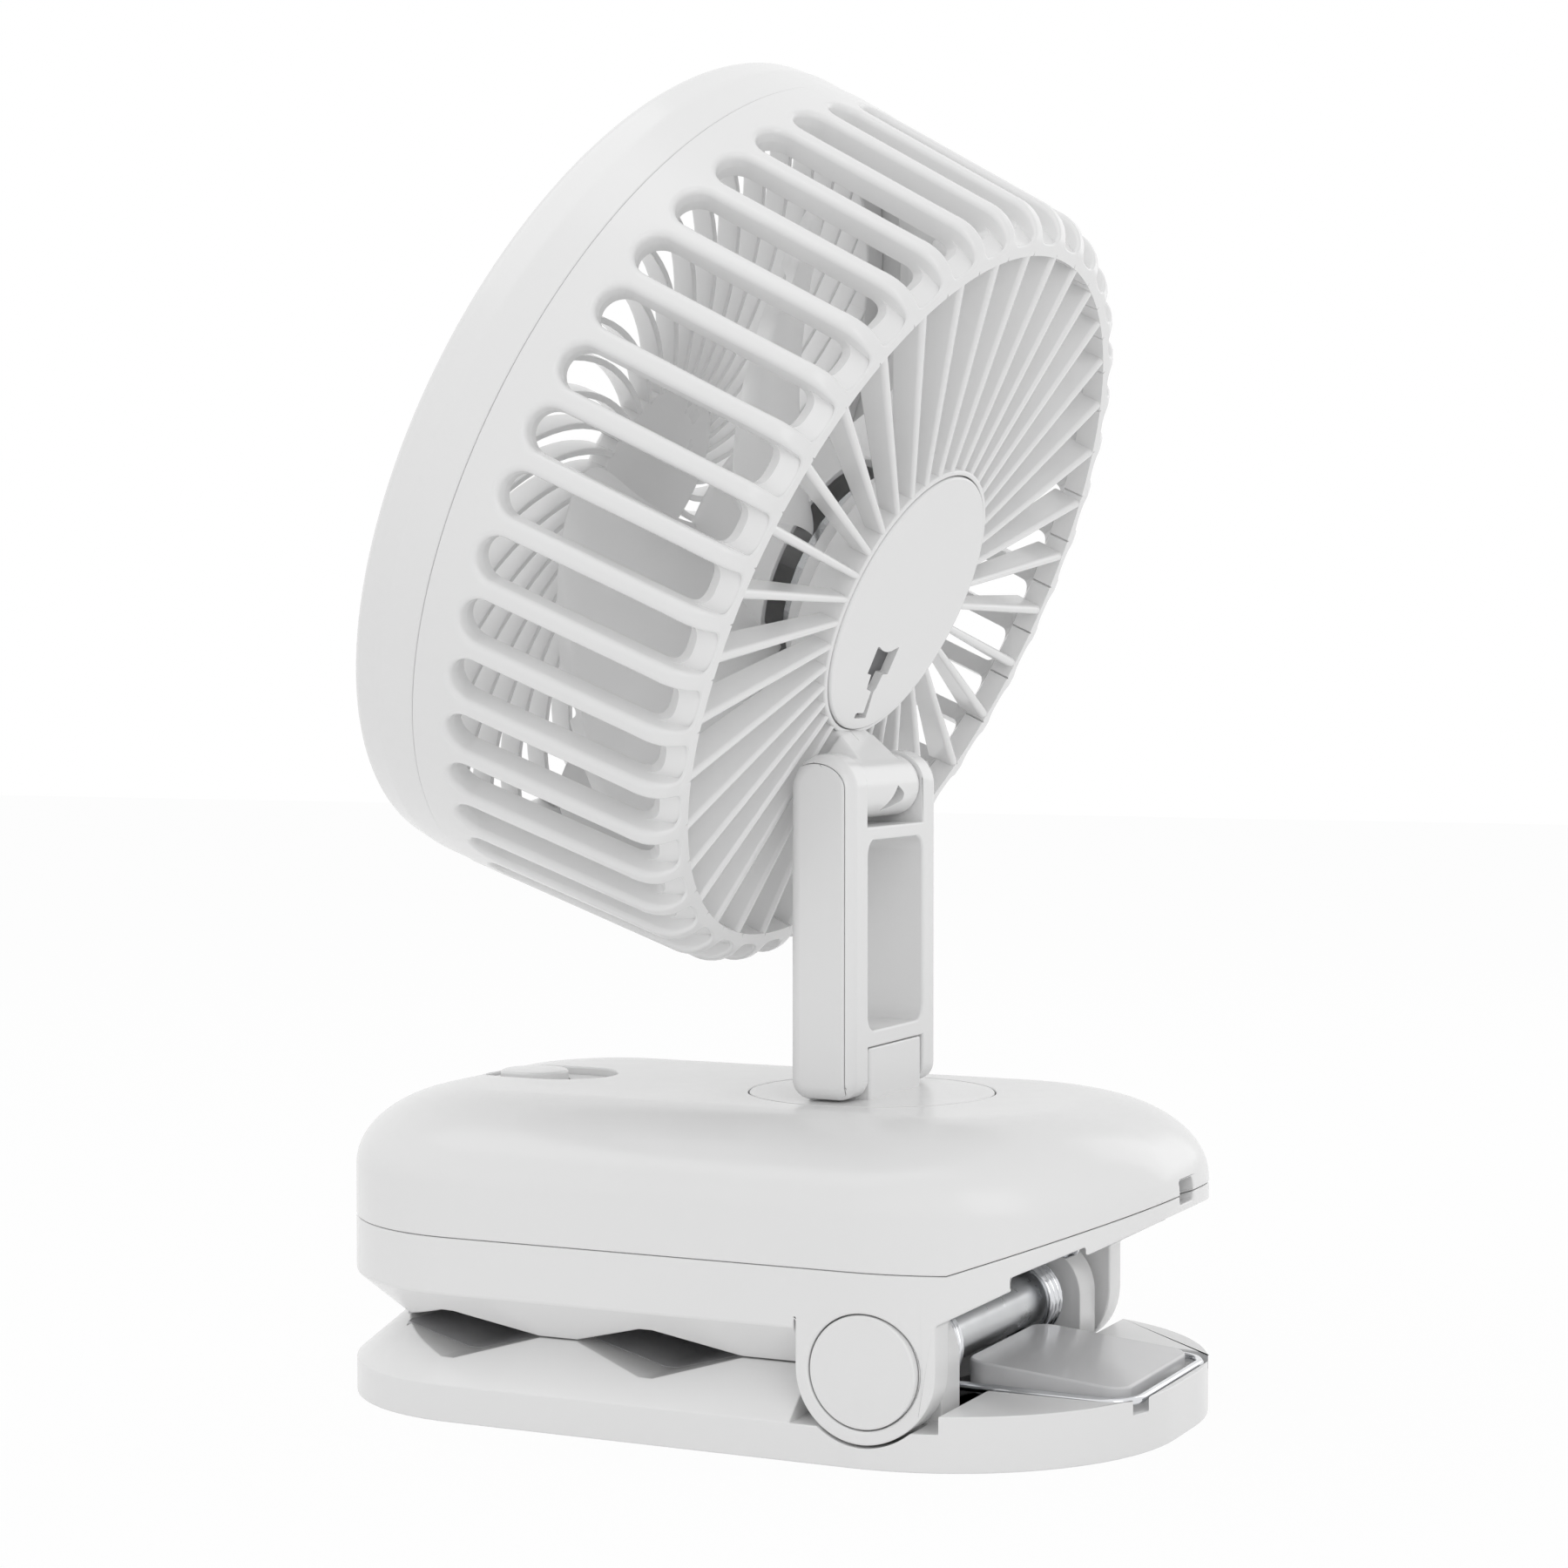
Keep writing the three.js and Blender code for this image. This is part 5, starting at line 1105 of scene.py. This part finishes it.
def impeller():
    rows, columns, blades = 26, 18, 5
    stride, side = columns + 1, (columns + 1) * (rows + 1)
    edge = list(range(columns)) + [r * stride + columns for r in range(rows)]
    edge += [rows * stride + c for c in range(columns, 0, -1)] + [r * stride for r in range(rows, 0, -1)]
    verts, faces = [], []
    for blade in range(blades):
        base = len(verts)
        for offset in (-BLADE_HALF, BLADE_HALF):
            faces += bands(len(verts), rows + 1, stride, False)
            verts += blade_points(BLADE_TURN + 2 * math.pi * blade / blades, offset, rows, columns)
        faces += [(base + a, base + side + a, base + side + b, base + b) for a, b in zip(edge, edge[1:] + edge[:1])]
    dress(mesh_object("fan_blades", verts, faces), "impeller", MILK, "milk_white", "impeller", sharp=60)
    profile = round_corners([
        (23.5, 22), (25.5, 22), (25.5, 44.5), (17.5, HUB_FRONT), (1.9, HUB_FRONT), (1.9, 19.3), (4.5, 19.3),
        (4.5, 46), (20, 46), (23.5, 43)], [0.4, 0.4, 3, 6, 0.3, 0.3, 0.3, 1, 3, 2])
    dress(turned("fan_hub", profile, 96, in_head), "impeller", MILK, "milk_white", "impeller")
    start = HUB_FRONT + GAP
    profile = [(AXIS, start)] + [(SPINNER * math.cos(a), start + SPINNER_RISE * math.sin(a)) for a in quarter(12)]
    profile[-1] = (AXIS, profile[-1][1])
    dress(turned("fan_spinner", profile, 64, in_head), "impeller", MILK, "milk_white", "spinner_cap")


def front_ring():
    inner, seat = RING - RING_WALL, GRILLE_FRONT + GAP
    profile = round_corners([
        (inner, 61.5), (RING - 0.7, 61.5), (RING, 70), (RING - 0.5, RING_FRONT), (RING_LIP, RING_FRONT),
        (RING_LIP, seat), (inner, seat)], [0.3, 0.35, 8, 4.4, 0.6, 0.3, 0.3], 8)
    white(turned("trim_ring", profile, 200, in_head), "head", "front_ring")
    outer = inner - GAP
    profile = round_corners(box(outer - 1.8, SEAM_DEPTH - 2, outer, 64.4), [0, 0, 0.5, 0.5])
    white(turned("cage_lip", profile, 160, in_head), "head", "rear_cage")


def front_grille():
    outer, rim = RING - RING_WALL - GAP, RING_LIP - 2.6
    profile = round_corners(box(rim, GRILLE_BACK, outer, GRILLE_FRONT), [0.6, 0.3, 0.3, 0.6])
    white(turned("grille_rim", profile, 160, in_head), "head", "front_grille")
    profile = round_corners([(AXIS, GRILLE_BACK), (GRILLE_HUB, GRILLE_BACK), (GRILLE_HUB, GRILLE_FRONT - 0.4),
                             (12, GRILLE_FRONT), (AXIS, GRILLE_FRONT)], [0, 0.5, 1.6, 5, 0], 6)
    dress(turned("grille_badge", profile, 96, in_head), "head", SATIN, "white", "front_grille")
    start, end, front = GRILLE_HUB - 0.8, rim + 0.8, GRILLE_FRONT - 0.3
    section = round_corners([(-0.8, GRILLE_BACK), (0.8, GRILLE_BACK), (0.65, front), (-0.65, front)],
                            [0.3, 0.3, 0.6, 0.6], 3)
    ribs = []
    for rib in range(GRILLE_RIBS):
        loops = []
        for share in shares(18):
            radius = start + (end - start) * share
            turn = 2 * math.pi * rib / GRILLE_RIBS + GRILLE_SWEEP * share ** 1.3
            loops.append([in_head(radius, depth, turn + across / radius) for across, depth in section])
        ribs.append(loops)
    white(stack("grille_ribs", *ribs), "head", "front_grille")


def carried_over():
    """The CAD nodes that stay get the materials of their slots."""
    for material, names in (
            (STEEL, "hinge_axle fold_pin tilt_pin rear_bearing front_bearing rotor_can motor_shaft"),
            (GREY, "turntable_retainer tilt_washer_right tilt_washer_left"), (COPPER, "motor_stator"),
            (SLEEVE, "battery_cell_right battery_cell_left"), (BOARD, "circuit_board")):
        for name in names.split():
            mesh = frame["nodes"][name].data
            mesh.materials.clear()
            mesh.materials.append(material)


cage_drum()
cage_spokes()
motor_mount()
neck()
rear_cap()
impeller()
front_ring()
front_grille()
carried_over()
